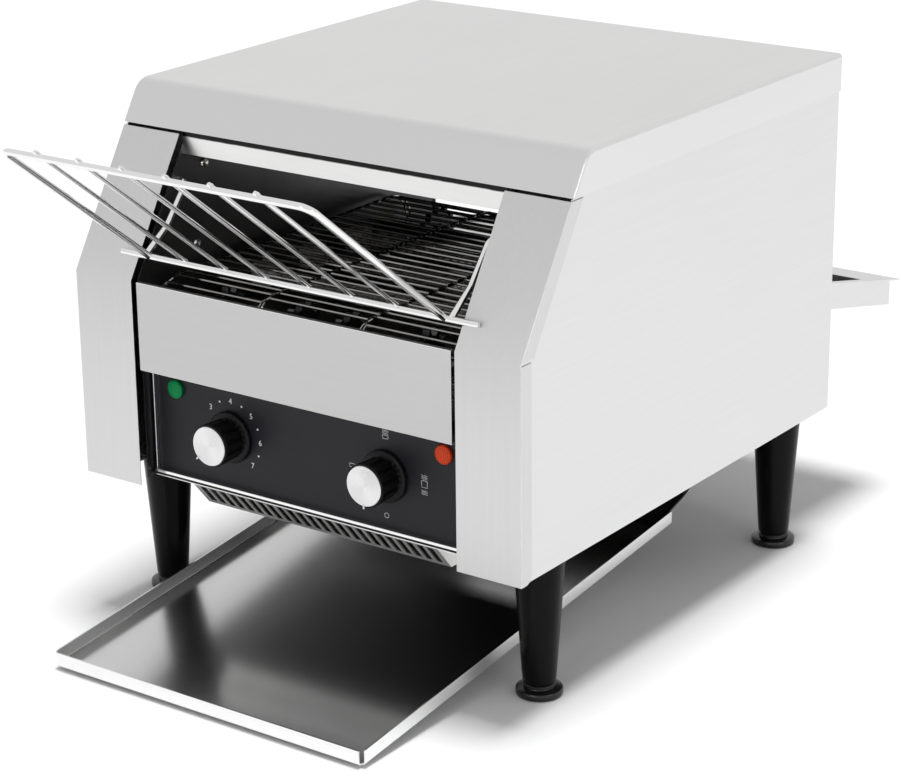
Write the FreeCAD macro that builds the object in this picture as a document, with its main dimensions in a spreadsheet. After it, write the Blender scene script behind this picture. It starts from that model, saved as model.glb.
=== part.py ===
import FreeCAD, Part
import math
import os
import re
import Sketcher

# A conveyor toaster with an inclined wire rack for the bread, a wire belt between two
# banks of heaters, a slide that turns the toast forward and a tray that collects it.
# The frame: X across the front with +X on the right, Y into the depth, Z up. The sizes
# count depths from the body's front face, and each finished piece is moved so that the
# origin lies on the table under the middle of the whole toaster.

V = FreeCAD.Vector
X = V(1, 0, 0)
Y = V(0, 1, 0)
Z = V(0, 0, 1)

SIZES = {
    # The body as a whole
    "body_width": 368,
    "body_depth": 404,
    "body_top": 368,
    "column_lap": 1,
    "side_base": 101.5,
    "kink_height": 248,
    "slant_run": 57,
    "slant_rise": 93,
    "sheet": 1.0,
    "touch_gap": 0.3,
    "fit_gap": 0.2,
    "overrun": 5,
    # The two front columns
    "column_gauge": 0.8,
    "column_width": 50,
    "column_gap": 2,
    "wrap_width": 12,
    "wrap_corner": 7,
    "relief_slot": 2,
    # The side panels
    "side_setback": 2,
    "side_drop": 13,
    "side_flange": 18,
    "rear_flange": 8,
    # The top cover
    "cover_skirt": 27.5,
    "cover_proud": 1.2,
    "cover_bend": 16,
    "cover_edge": 3,
    # The stainless panel above the controls
    "face_set": 1.2,
    "face_height": 62.6,
    "face_drop": 0.4,
    "face_gap": 3.5,
    "face_return": 4,
    # The control panel and its trim
    "panel_set": 18,
    "panel_sheet": 1.2,
    "panel_side_gap": 2.5,
    "panel_rise": 3.8,
    "panel_overlap": 2,
    "panel_flange": 10,
    "trim_depth": 5,
    "trim_height": 4.1,
    "trim_strip": 0.9,
    "trim_strip_depth": 3,
    # The slotted pan under the controls
    "pan_side_gap": 30,
    "vent_front": 19,
    "vent_gap": 0.7,
    "vent_run": 17,
    "vent_drop": 20,
    "pan_back": 165,
    "slot_count": 24,
    "slot_pitch": 8.4,
    "slot_width": 5.2,
    "slot_margin": 3,
    # The base plate
    "base_sheet": 1.2,
    "base_front": 40,
    "pan_hole_rim": 4,
    "pan_hole_front": 46,
    "pan_hole_set": 5,
    "toast_hole_past": 3,
    "toast_hole_front": 215,
    # The heating chamber
    "wall_front": 8,
    "slide_room": 59,
    "wall_gap": 1,
    "header_inset": 12.4,
    "header_height": 15.5,
    "shield_back": 172,
    "shield_rise": 5,
    "shield_side_gap": 2,
    # The belt and its shafts
    "belt_drop": 3,
    "belt_wire": 1.2,
    "belt_pitch": 11,
    "belt_teeth": 13,
    "drop_room": 60,
    "belt_side_gap": 5,
    "belt_front": 40,
    "link_thick": 1.0,
    "link_width": 3,
    "link_inner": 40,
    "shaft_radius": 5,
    "shaft_past": 7,
    "drive_past": 33,
    "bush_radius": 9,
    "bush_flange_radius": 12,
    "bush_flange": 2,
    "bush_reach": 5,
    "bush_play": 0.05,
    "sprocket_width": 5,
    "sprocket_inner": 20,
    "sprocket_outer": 84,
    "tooth_height": 4,
    "tooth_foot": 4.6,
    "tooth_point": 2.4,
    "hub_radius": 9,
    # The chain drive
    "chain_gap": 22,
    "chain_width": 5,
    "chain_thick": 4,
    "drive_sprocket_radius": 24,
    "motor_sprocket_radius": 16,
    "drive_sprocket_teeth": 24,
    "motor_sprocket_teeth": 16,
    "chain_tooth": 2.5,
    "motor_place_y": 105,
    "motor_rise": 38.5,
    "motor_shaft_radius": 4,
    "motor_shaft_hole": 8,
    "gearbox_gap": 12,
    "gearbox_length": 30,
    "gearbox_side": 60,
    "motor_radius": 27,
    "motor_length": 55,
    "bracket_sheet": 2,
    "bracket_foot": 24,
    # The heaters and what is round them
    "heater_radius": 5,
    "heater_short": 8,
    "heater_end_gap": 20,
    "upper_heater_count": 4,
    "heater_inset": 22,
    "heater_drop": 13,
    "lower_heater_count": 3,
    "lower_heater_first": 134,
    "holder_width": 16,
    "holder_height": 16,
    "reflector_drop": 4.5,
    "reflector_inset": 17,
    "reflector_past": 20,
    "upper_reflector_drop": 34,
    "reflector_gap": 40,
    "lower_reflector_front": 100,
    "reflector_short": 24,
    "guard_wire": 1.2,
    "guard_share": 0.87,
    "guard_inset": 28,
    "guard_past": 10,
    "guard_count": 5,
    "guard_pitch": 48,
    # The slide for the toast
    "slide_sheet": 1.0,
    "slide_lap": 8,
    "slide_drop": 3.3,
    "slide_turn_drop": 32.5,
    "slide_turn_radius": 80,
    "slide_lean": 5,
    "ridge_drop": 3.3,
    "slide_side_gap": 8,
    "lip_side_gap": 12,
    "lip_gap": 6,
    "cheek_depth": 26,
    # The bracket that carries the tray's rear end
    "bracket_lap": 20,
    "bracket_past": 6,
    "bracket_gap": 7,
    "bracket_dip": 5,
    "bracket_flange": 30,
    "bracket_side_gap": 16,
    # The collecting tray
    "tray_front": -98,
    "tray_length": 368,
    "tray_low": 2,
    "tray_rise": 38.5,
    "tray_side_gap": 3,
    "tray_wall": 10.5,
    "tray_notch": 4,
    # The piece that stands out at the rear
    "outlet_side_gap": 12,
    "outlet_gap": 8,
    "outlet_reach": 117,
    "outlet_rise": 92.8,
    "outlet_slope_share": 0.222,
    "outlet_wall": 20,
    "outlet_hem": 7,
    "outlet_bar_lap": 35,
    "outlet_bar_past": 17,
    # The opening for it in the rear panel
    "sill_depth": 42,
    "opening_room": 73.7,
    "opening_play": 0.6,
    "louvre_count": 9,
    "louvre_pitch": 22,
    "louvre_width": 4,
    "louvre_rise": 10.5,
    "louvre_length": 34,
    # Legs and feet
    "leg_inset": 24.5,
    "leg_front": 56.4,
    "leg_rear": 34,
    "leg_low": 9,
    "leg_low_radius": 11.2,
    "leg_high_radius": 17.5,
    "foot_radius": 15.9,
    "foot_rim": 4,
    "foot_shoulder": 7.4,
    "foot_neck_radius": 8.6,
    "stud_radius": 4,
    "stud_play": 0.08,
    "stud_length": 24,
    # Feed rack
    "rack_lift": 17.4,
    "rack_rod": 2.25,
    "rack_wire": 1.6,
    "rack_bar_past": 13.5,
    "rack_side_gap": 12,
    "rack_top_y": -124,
    "rack_height": 101.4,
    "rack_corner": 8,
    "rack_wire_pitch": 35,
    "rack_wire_count": 6,
    "rack_wire_set": -4,
    "rack_nub": 4,
    "hook_gap": 4,
    "hook_back": 30,
    "hook_rise": 15.6,
    "hook_corner": 6,
    "pivot_inset": 7.226,
    "pivot_drop": 16,
    "pivot_past": 3,
    # Knobs and lamps
    "knob_side_gap": 68.7,
    "knob_rise": 41.1,
    "knob_skirt_radius": 18,
    "knob_skirt": 4,
    "knob_grip_radius": 15,
    "knob_tip_radius": 14.4,
    "knob_reach": 22,
    "knob_flute_radius": 2.2,
    "knob_flutes": 12,
    "knob_stem_radius": 3,
    "knob_hole_radius": 5,
    "knob_cap_radius": 13.8,
    "knob_cap": 2,
    "lamp_side_gap": 22.2,
    "lamp_drop": 13,
    "lamp_radius": 6.2,
    "lamp_dome": 4,
    "lamp_body_radius": 5,
    "lamp_body": 22,
    # What is behind the control panel
    "stem_end": 24,
    "pot_radius": 9,
    "pot_depth": 10,
    "board_width": 60,
    "board_height": 46,
    "board_thick": 1.6,
    "switch_width": 34,
    "switch_depth": 40,
    # Fan on the heat shield
    "fan_side": 60,
    "fan_depth": 20,
    "fan_place": -45,
    "fan_rise": 43.5,
    "fan_bore": 28,
    "fan_hub": 11,
    "fan_blade_reach": 26.5,
    "fan_blades": 7,
    "fan_blade_thick": 1.6,
    "fan_blade_pitch_angle": 35,
    "fan_pin": 2,
    "fan_spoke": 5,
    # Small electrical parts
    "gland_radius": 9,
    "gland_bore": 4.5,
    "gland_reach": 12,
    "gland_gap": 6,
    "gland_rise": 26.5,
    "terminal_width": 30,
    "terminal_length": 56,
    "terminal_height": 20,
    "terminal_gap": 21,
    "terminal_place_y": 90,
    # Screws
    "screw_radius": 1.9,
    "screw_head": 3.6,
    "screw_head_height": 2,
    "screw_length": 6,
    "screw_play": 0.1,
    "wall_screw_front": 80,
    "front_screw_drop": 11,
    "wall_screw_low_y": 69,
    "low_screw_rise": 13,
    "rear_screw_gap": 4,
    "high_screw_rise": 21,
    "rear_screw_edge": 6,
    "rear_screw_rows": 4,
    "rear_screw_margin": 16.5,
    "rear_screw_room": 21,
}

# Sizes that follow from others, so that what fits or lines up stays that way
FOLLOWS = {
    "column_base": "side_base - column_lap",
    "column_top": "cover_low - column_gap",
    "side_top": "body_top - side_drop",
    "cover_low": "body_top - cover_skirt",
    "wall_reach": "body_width / 2 - column_width",
    "wall_back": "body_depth - slide_room",
    "wall_top": "cover_low - wall_gap",
    "header_low": "wall_top - header_height",
    "header_front": "(header_low - kink_height) * slant_run / slant_rise + header_inset",
    "face_high": "kink_height - face_drop",
    "face_low": "face_high - face_height",
    "panel_width": "2 * (wall_reach - panel_side_gap)",
    "panel_low": "column_base + panel_rise",
    "pan_width": "2 * (wall_reach - pan_side_gap)",
    "vent_high": "panel_low - vent_gap",
    "pan_hole_width": "pan_width - 2 * pan_hole_rim",
    "pan_hole_back": "pan_back - pan_hole_set",
    "toast_hole_width": "2 * (wall_reach + toast_hole_past)",
    "toast_hole_back": "slide_turn_y + slide_sheet",
    "shield_top": "face_low + shield_rise",
    "shield_width": "2 * (wall_reach - shield_side_gap)",
    "belt_level": "kink_height - belt_drop",
    "belt_steps": "floor((wall_back - drop_room - belt_front) / belt_pitch)",
    "belt_width": "2 * (wall_reach - belt_side_gap)",
    "link_outer": "belt_width / 2 - link_width",
    "shaft_end": "wall_reach + shaft_past",
    "drive_end": "wall_reach + drive_past",
    "chain_place": "wall_reach + chain_gap",
    "motor_place_z": "side_base + motor_rise",
    "gearbox_start": "wall_reach - gearbox_gap - gearbox_length",
    "heater_reach": "wall_reach - heater_short",
    "heater_pitch": "(belt_rear - upper_heater_first - heater_end_gap) / (upper_heater_count - 1)",
    "upper_heater_level": "upper_reflector_level - heater_drop",
    "upper_reflector_level": "wall_top - reflector_drop",
    "upper_reflector_front": "header_front + reflector_inset",
    "upper_heater_first": "upper_reflector_front + heater_inset",
    "upper_reflector_back": "belt_rear + reflector_past",
    "lower_reflector_level": "belt_level - reflector_gap",
    "lower_reflector_back": "belt_rear - reflector_short",
    "guard_level": "belt_level + (upper_heater_level - belt_level) * guard_share",
    "guard_front": "header_front + guard_inset",
    "guard_back": "belt_rear + guard_past",
    "slide_end_y": "tray_rear - slide_lap",
    "slide_end_z": "tray_low + (slide_end_y - tray_front) * tray_rise / tray_length + sheet"
                   " + slide_drop",
    "slide_turn_y": "wall_back",
    "slide_turn_z": "side_base - slide_turn_drop",
    "slide_ridge_y": "slide_turn_y + slide_lean",
    "slide_ridge_z": "outlet_level + (body_depth - slide_ridge_y) * outlet_slope_share - ridge_drop",
    "slide_low_width": "2 * (wall_reach - slide_side_gap)",
    "slide_lip_width": "outlet_width - 2 * lip_side_gap",
    "slide_lip_end": "outlet_bar_start - lip_gap",
    "bracket_front": "tray_rear - bracket_lap",
    "bracket_bend": "tray_rear + bracket_past",
    "bracket_back": "slide_turn_y + slide_sheet + bracket_gap",
    "bracket_turn": "slide_turn_z - bracket_dip",
    "bracket_end": "bracket_back + bracket_flange",
    "bracket_width": "2 * (wall_reach - bracket_side_gap)",
    "tray_width": "2 * (wall_reach - tray_side_gap)",
    "outlet_width": "body_width - 2 * outlet_side_gap",
    "outlet_inner": "slide_ridge_y + outlet_gap",
    "outlet_outer": "body_depth + outlet_reach",
    "outlet_level": "side_base + outlet_rise",
    "outlet_bar_start": "outlet_outer - outlet_bar_lap",
    "outlet_bar_end": "outlet_outer + outlet_bar_past",
    "opening_high": "outlet_level + opening_room",
    "louvre_low": "side_base + louvre_rise",
    "louvre_high": "louvre_low + louvre_length",
    "rack_level": "kink_height + rack_lift",
    "rack_bar_reach": "wall_reach + rack_bar_past",
    "rack_side": "wall_reach - rack_side_gap",
    "rack_top_z": "rack_level + rack_height",
    "hook_side": "rack_side + hook_gap",
    "pivot_level": "header_low - pivot_drop",
    "pivot_back": "(pivot_level - kink_height) * slant_run / slant_rise + wall_front + pivot_inset",
    "knob_place": "wall_reach - knob_side_gap",
    "knob_height": "panel_low + knob_rise",
    "lamp_place": "wall_reach - lamp_side_gap",
    "lamp_height": "face_low - lamp_drop",
    "fan_height": "side_base + fan_rise",
    "gland_place_x": "-(wall_reach + gland_gap)",
    "gland_place_z": "side_base + gland_rise",
    "terminal_place_x": "-(wall_reach + terminal_gap)",
    "wall_screw_front_z": "header_low - front_screw_drop",
    "wall_screw_low_z": "belt_level + low_screw_rise",
    "wall_screw_rear": "belt_rear - rear_screw_gap",
    "wall_screw_rear_z": "belt_level + high_screw_rise",
    "rear_screw_inset": "body_width / 2 - rear_screw_edge",
    "rear_screw_first": "side_base + rear_screw_margin",
    "rear_screw_pitch": "(side_top - rear_screw_room - rear_screw_first) / (rear_screw_rows - 1)",
    "belt_rear": "belt_front + belt_steps * belt_pitch",
    "tray_rear": "tray_front + tray_length",
}

doc = FreeCAD.newDocument("conveyor_toaster")
sheet = doc.addObject("Spreadsheet::Sheet", "Sizes")
for row, (size_name, size_value) in enumerate(SIZES.items(), 1):
    sheet.set(f"A{row}", size_name)
    sheet.set(f"B{row}", str(size_value))
    sheet.setAlias(f"B{row}", size_name)
doc.recompute()

WORD = re.compile(r"[a-z_]+")
NODES = {}

# Formulas that several pieces share
SLOPE = "(slant_run / slant_rise)"
LEAN = f"sqrt(1 + {SLOPE}^2)"
HALF = "(body_width / 2)"
INSIDE = f"({HALF} - column_gauge - sheet)"
BASE_UNDER = "(side_base + sheet)"
BASE_OVER = f"({BASE_UNDER} + base_sheet)"
BELT_RADIUS = "(belt_teeth * belt_pitch / 2 / pi)"
SHAFT_LEVEL = f"(belt_level - belt_wire - {BELT_RADIUS})"

# The rack's bar lies before the slanted columns, and its wires lean forward from there
BAR_SET = f"((rack_level - kink_height) * {SLOPE} - (rack_rod + touch_gap) * {LEAN})"
RACK_RUN = f"(rack_top_y - {BAR_SET})"
RACK_RISE = "(rack_top_z - rack_level)"
RACK_LENGTH = f"sqrt({RACK_RUN}^2 + {RACK_RISE}^2)"

# The foremost point is the end of a rack wire, the rearmost the outlet's bar
FOREMOST = (f"(rack_top_y + ((rack_rod + rack_wire) / 2 * {RACK_RISE} + rack_nub * {RACK_RUN}"
            f" - rack_wire * {RACK_RISE}) / {RACK_LENGTH})")
MIDDLE = f"(({FOREMOST} + outlet_bar_end) / 2)"


def formula(text):
    """Points each size's name at its cell in the sheet, or at the sizes that it follows from."""
    def tie(match):
        word = match[0]
        if word in FOLLOWS:
            return f"({formula(FOLLOWS[word])})"
        return f"Sizes.{word}" if word in SIZES else word

    return WORD.sub(tie, str(text))


def number(text):
    """The present value of a formula."""
    value = sheet.evalExpression(formula(text))
    return float(getattr(value, "Value", value))


def bind(thing, **formulas):
    """Ties properties of an object to the sheet."""
    for name, text in formulas.items():
        thing.setExpression(name, formula(text))


def place(thing, x="0", y="0", z="0", turn=None):
    """Ties the place of an object to the sheet."""
    if turn:
        thing.Placement = FreeCAD.Placement(V(), turn)
    for axis, text in zip("xyz", (x, y, z)):
        thing.setExpression(f"Placement.Base.{axis}", formula(text))
    return thing


def box(size, corner, name="block"):
    thing = doc.addObject("Part::Box", name)
    bind(thing, Length=size[0], Width=size[1], Height=size[2])
    return place(thing, *corner)


def slab(width, depth, height, y, z, x="0", name="block"):
    """A box that is centred on x, with its front at y and its underside at z."""
    return box((width, depth, height), (f"{x} - ({width}) / 2", y, z), name)


TURNS = {"x": FreeCAD.Rotation(Y, 90), "y": FreeCAD.Rotation(X, -90), "z": None}


def rod(radius, length, start, along, name="rod"):
    thing = doc.addObject("Part::Cylinder", name)
    bind(thing, Radius=radius, Height=length)
    return place(thing, *start, turn=TURNS[along])


def cone(low, high, length, start, along="z", name="cone"):
    thing = doc.addObject("Part::Cone", name)
    bind(thing, Radius1=low, Radius2=high, Height=length)
    return place(thing, *start, turn=TURNS[along])


def join(things, name="joined"):
    thing = doc.addObject("Part::MultiFuse", name)
    thing.Shapes = things
    return thing


def cut(base, tools, name="cut"):
    thing = doc.addObject("Part::Cut", name)
    thing.Base = base
    thing.Tool = tools[0] if len(tools) == 1 else join(tools)
    return thing


def group(things, name="group"):
    """Several solids that share a node."""
    thing = doc.addObject("Part::Compound", name)
    thing.Links = things
    return thing


def piece(node, thing):
    """Names a finished piece and moves it to the frame of the whole toaster."""
    thing.Label = node
    ties = dict(thing.ExpressionEngine)
    depth = ties.get(".Placement.Base.y") or ties.get("Placement.Base.y") or "0"
    thing.setExpression("Placement.Base.y", f"({depth}) - {formula(MIDDLE)}")
    NODES[node] = thing
    return thing


def edge_at(shape, y, z):
    """The straight edges along X that stand at one place of the outline."""
    found = []
    for index, edge in enumerate(shape.Edges, 1):
        ends = [vertex.Point for vertex in edge.Vertexes]
        near = all(math.hypot(p.y - y, p.z - z) < Part.Precision.confusion() * 1000 for p in ends)
        if near and len(ends) == 2:
            found.append(f"Edge{index}")
    return found


def outline(points, width, x="0", rounds=(), name="profile"):
    """A body whose outline in the YZ plane is padded along X, evenly about x."""
    body = doc.addObject("PartDesign::Body", name)
    sketch = body.newObject("Sketcher::SketchObject", f"{name}_sketch")
    plane = next(o for o in body.Origin.OriginFeatures if o.Role == "YZ_Plane")
    sketch.AttachmentSupport = [(plane, "")]
    sketch.MapMode = "FlatFace"
    spots = [V(number(y), number(z), 0) for y, z in points]
    count = len(spots)
    for index, spot in enumerate(spots):
        sketch.addGeometry(Part.LineSegment(spot, spots[(index + 1) % count]), False)
    for index in range(count):
        sketch.addConstraint(Sketcher.Constraint("Coincident", index, 2, (index + 1) % count, 1))
    for index, (y, z) in enumerate(points):
        for kind, text, value in (("DistanceX", y, spots[index].x), ("DistanceY", z, spots[index].y)):
            mark = sketch.addConstraint(Sketcher.Constraint(kind, -1, 1, index, 1, value))
            label = f"{kind}{index}"
            sketch.renameConstraint(mark, label)
            sketch.setExpression(f"Constraints.{label}", formula(text))
    pad = body.newObject("PartDesign::Pad", f"{name}_pad")
    pad.Profile = sketch
    pad.Midplane = True
    bind(pad, Length=width)
    last = pad
    for corner, radius in rounds:
        doc.recompute()
        names = edge_at(last.Shape, spots[corner].x, spots[corner].y)
        bend = body.newObject("PartDesign::Fillet", f"{name}_bend")
        bend.Base = (last, names)
        bind(bend, Radius=radius)
        last = bend
    body.Tip = last
    place(body, x)
    return body


def strip(path, shift, width, x="0", rounds=(), name="strip"):
    """A bent sheet: a path in the YZ plane and the same path moved by the sheet's thickness."""
    back = [(f"{y} + {shift[0]}", f"{z} + {shift[1]}") for y, z in reversed(path)]
    both = list(rounds)
    for corner, radius in rounds:
        both.append((2 * len(path) - 1 - corner, radius))
    return outline(list(path) + back, width, x, both, name)


def solid_piece(node, shape):
    """A piece whose shape comes from a formula, such as a bent wire or a loop of links."""
    thing = doc.addObject("Part::Feature", node)
    thing.Shape = shape
    thing.Placement = FreeCAD.Placement()
    return piece(node, thing)


def sided(sign, outer, depth):
    """The centre of a sheet of some thickness that stands inside the face called outer."""
    return f"{sign} * ({outer} - {depth} / 2)"


SIDES = {"left": -1, "right": 1}


def on_slant(height, back="0"):
    """How far back the slanted face of the columns is at a height."""
    return f"(({height}) - kink_height) * {SLOPE} + {back}"


# The two columns: a front face bent at the kink and a return on the outer side, which
# has a relief slot at the kink and a rounded lower corner
def front_column(side, sign):
    thick = f"column_gauge * {LEAN}"
    face = outline([
        ("0", "column_base"),
        ("0", "kink_height"),
        (on_slant("column_top"), "column_top"),
        (on_slant("column_top", thick), "column_top"),
        ("column_gauge", f"kink_height + (column_gauge - {thick}) / {SLOPE}"),
        ("column_gauge", "column_base"),
    ], "column_width", sided(sign, HALF, "column_width"), name=f"{side}_column_face")
    low = outline([
        ("0", "column_base"),
        ("0", "kink_height - relief_slot / 2"),
        ("wrap_width", "kink_height - relief_slot / 2"),
        ("wrap_width", "column_base"),
    ], "column_gauge", sided(sign, HALF, "column_gauge"), [(3, "wrap_corner")], f"{side}_wrap_low")
    foot = "kink_height + relief_slot / 2"
    high = outline([
        (on_slant(foot), foot),
        (on_slant("column_top"), "column_top"),
        (on_slant("column_top", f"wrap_width * {LEAN}"), "column_top"),
        (on_slant(foot, f"wrap_width * {LEAN}"), foot),
    ], "column_gauge", sided(sign, HALF, "column_gauge"), name=f"{side}_wrap_high")
    piece(f"{side}_front_column", join([face, low, high]))


# The side panels: flat sheets with a flange along the bottom and one at the rear
def side_panel(side, sign):
    outer = f"({HALF} - column_gauge)"
    wall = outline([
        ("side_setback", "side_base"),
        ("side_setback", "kink_height"),
        (on_slant("side_top", "side_setback"), "side_top"),
        ("body_depth", "side_top"),
        ("body_depth", "side_base"),
    ], "sheet", sided(sign, outer, "sheet"), name=f"{side}_side_wall")
    floor = slab("side_flange", "body_depth - side_setback", "sheet", "side_setback", "side_base",
                 sided(sign, INSIDE, "side_flange"))
    rear = slab("rear_flange", "sheet", "side_top - side_base", "body_depth - sheet", "side_base",
                sided(sign, INSIDE, "rear_flange"))
    parts = [wall, floor, rear]
    screws = [rod("screw_radius + screw_play", "sheet + 2 * overrun",
                  (f"{sign} * rear_screw_inset", "body_depth - sheet - overrun", height), "y")
              for height in rear_screw_heights()]
    piece(f"{side}_side_panel", cut(join(parts), screws))


def rear_screw_heights():
    rows = range(int(number("rear_screw_rows")))
    return [f"rear_screw_first + {index} * rear_screw_pitch" for index in rows]


# The top cover: a deep lid with skirts on all sides, whose front follows the slant
def top_cover():
    width = "body_width + 2 * fit_gap + 2 * sheet"
    thick = f"sheet * {LEAN}"

    def lid(front, top, rear, low, across, bend, edge, name):
        body = outline([
            (f"{on_slant(low)} + {front}", low),
            (f"{on_slant(top)} + {front}", top),
            (rear, top),
            (rear, low),
        ], across, rounds=[(1, bend)], name=name)
        doc.recompute()
        bent = body.Tip
        shape = bent.Shape
        reach = number(across) / 2
        names = []
        for index, curve in enumerate(shape.Edges, 1):
            ends = [vertex.Point for vertex in curve.Vertexes]
            on_side = all(abs(abs(p.x) - reach) < Part.Precision.confusion() * 100 for p in ends)
            same_side = ends[0].x * ends[-1].x > 0
            low_edge = all(abs(p.z - number(low)) < Part.Precision.confusion() * 100 for p in ends)
            if on_side and same_side and not low_edge:
                names.append(f"Edge{index}")
        names += edge_at(shape, number(rear), number(top))
        soft = body.newObject("PartDesign::Fillet", f"{name}_edge")
        soft.Base = (bent, names)
        bind(soft, Radius=edge)
        body.Tip = soft
        return body

    shell = lid("(-cover_proud)", "body_top", "body_depth + sheet", "cover_low", width,
                "cover_bend", "cover_edge", "cover_outside")
    inner = lid(f"(-cover_proud + {thick})", "body_top - sheet", "body_depth + fit_gap",
                "cover_low - overrun", f"{width} - 2 * sheet", "cover_bend - sheet",
                "cover_edge - sheet", "cover_inside")
    piece("top_cover", cut(shell, [inner]))


# The stainless panel above the controls, folded back at its top and bottom
def upper_front_panel():
    body = outline([
        ("face_set", "face_low"),
        ("face_set", "face_high"),
        ("face_set + face_return", "face_high"),
        ("face_set + face_return", "face_high - sheet"),
        ("face_set + sheet", "face_high - sheet"),
        ("face_set + sheet", "face_low + sheet"),
        ("panel_set", "face_low + sheet"),
        ("panel_set", "face_low"),
    ], "body_width - 2 * column_width - 2 * face_gap", rounds=[(0, "sheet / 2"), (1, "sheet / 2")],
        name="upper_face")
    piece("upper_front_panel", body)


# The dark control panel, with returns at its ends and holes for two stems and two lamps
def control_panel():
    high = "(face_low + panel_overlap - panel_low)"
    face = slab("panel_width", "panel_sheet", high, "panel_set", "panel_low")
    ends = [slab("panel_sheet", "panel_flange", high, "panel_set", "panel_low",
                 sided(sign, "panel_width / 2", "panel_sheet")) for sign in (-1, 1)]
    holes = []
    for sign in (-1, 1):
        start = ("panel_set - overrun", "knob_height")
        holes.append(rod("knob_hole_radius", "panel_sheet + 2 * overrun",
                         (f"{sign} * knob_place",) + start, "y"))
        start = ("panel_set - overrun", "lamp_height")
        holes.append(rod("lamp_body_radius + screw_play", "panel_sheet + 2 * overrun",
                         (f"{sign} * lamp_place",) + start, "y"))
    piece("control_panel", cut(join([face] + ends), holes))


# The bright trim that frames the control panel at its bottom and ends
def panel_trim():
    width = "(panel_width + 2 * trim_strip)"
    bar = slab(width, "trim_depth", "trim_height", "panel_set - trim_depth", "panel_low")
    strips = [slab("trim_strip", "trim_strip_depth", "face_low - panel_low",
                   "panel_set - trim_strip_depth", "panel_low",
                   sided(sign, f"{width} / 2", "trim_strip")) for sign in (-1, 1)]
    piece("panel_trim", join([bar] + strips))


# The pan under the controls: its sloping front is slotted for cooling air
def vent_pan():
    slope = "(vent_run / vent_drop)"
    back = f"sheet * sqrt(1 + {slope}^2)"
    floor = "(vent_high - vent_drop)"
    outer = outline([
        ("vent_front", "vent_high"),
        ("vent_front + vent_run", floor),
        ("pan_back", floor),
        ("pan_back", BASE_UNDER),
        (f"vent_front + {back}", BASE_UNDER),
    ], "pan_width", name="pan_outside")
    inner = outline([
        (f"vent_front + {back} - overrun * {slope}", "vent_high + overrun"),
        (f"vent_front + vent_run + {back} - sheet * {slope}", f"{floor} + sheet"),
        ("pan_back - sheet", f"{floor} + sheet"),
        ("pan_back - sheet", "vent_high + overrun"),
    ], "pan_width - 2 * sheet", name="pan_inside")
    start = f"({floor} + slot_margin)"
    end = "(vent_high - slot_margin)"
    slots = []
    for index in range(int(number("slot_count"))):
        slots.append(outline([
            (f"vent_front + (vent_high - {start}) * {slope} - overrun", start),
            (f"vent_front + (vent_high - {start}) * {slope} + overrun", start),
            (f"vent_front + (vent_high - {end}) * {slope} + overrun", end),
            (f"vent_front + (vent_high - {end}) * {slope} - overrun", end),
        ], "slot_width", f"({index} - (slot_count - 1) / 2) * slot_pitch", name="slot"))
    piece("vent_pan", cut(outer, [inner] + slots))


# The base plate, open over the pan and where the toast comes down
def base_plate():
    plate = slab(f"2 * {INSIDE} - 2 * fit_gap", "body_depth - 2 * sheet - fit_gap - base_front",
                 "base_sheet", "base_front", BASE_UNDER)
    tall = "base_sheet + 2 * overrun"
    under = f"{BASE_UNDER} - overrun"
    pan = slab("pan_hole_width", "pan_hole_back - pan_hole_front", tall, "pan_hole_front", under)
    toast = slab("toast_hole_width", "toast_hole_back - toast_hole_front", tall,
                 "toast_hole_front", under)
    piece("base_plate", cut(plate, [pan, toast]))


# The rear panel, with the wide opening for the outlet and a row of cooling slots
def rear_panel():
    y = "body_depth - 2 * sheet"
    plate = slab(f"2 * {INSIDE} - 2 * fit_gap", "sheet", f"side_top - {BASE_UNDER}", y, BASE_UNDER)
    deep = "sheet + 2 * overrun"
    front = f"{y} - overrun"
    under = "(outlet_wall + touch_gap)"
    low = f"({outlet_rim('body_depth - sheet')} - {under})"
    width = "(outlet_width + 2 * opening_play)"
    opening = slab(width, deep, f"opening_high - {low}", front, low)
    start = f"{y} - sill_depth"
    sill = strip([(start, f"{outlet_rim(start)} - {under}"), (y, f"{outlet_rim(y)} - {under}")],
                 ("0", "(-sheet)"), "outlet_width", name="sill")
    louvres = []
    for index in range(int(number("louvre_count"))):
        louvres.append(slab("louvre_width", deep, "louvre_high - louvre_low", front, "louvre_low",
                            f"({index} - (louvre_count - 1) / 2) * louvre_pitch"))
    holes = [rod("screw_radius + screw_play", deep, (f"{sign} * rear_screw_inset", front, height), "y")
             for sign in (-1, 1) for height in rear_screw_heights()]
    gland = ("gland_place_x", front, "gland_place_z")
    holes.append(rod("gland_bore + screw_play", deep, gland, "y"))
    piece("rear_panel", join([cut(plate, [opening] + louvres + holes), sill]))


WALL_SCREWS = (
    ("wall_screw_front", "wall_screw_front_z"),
    ("wall_screw_low_y", "wall_screw_low_z"),
    ("wall_screw_rear", "wall_screw_rear_z"),
)
SHAFT_DEPTHS = ("belt_front", "belt_rear")


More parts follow.
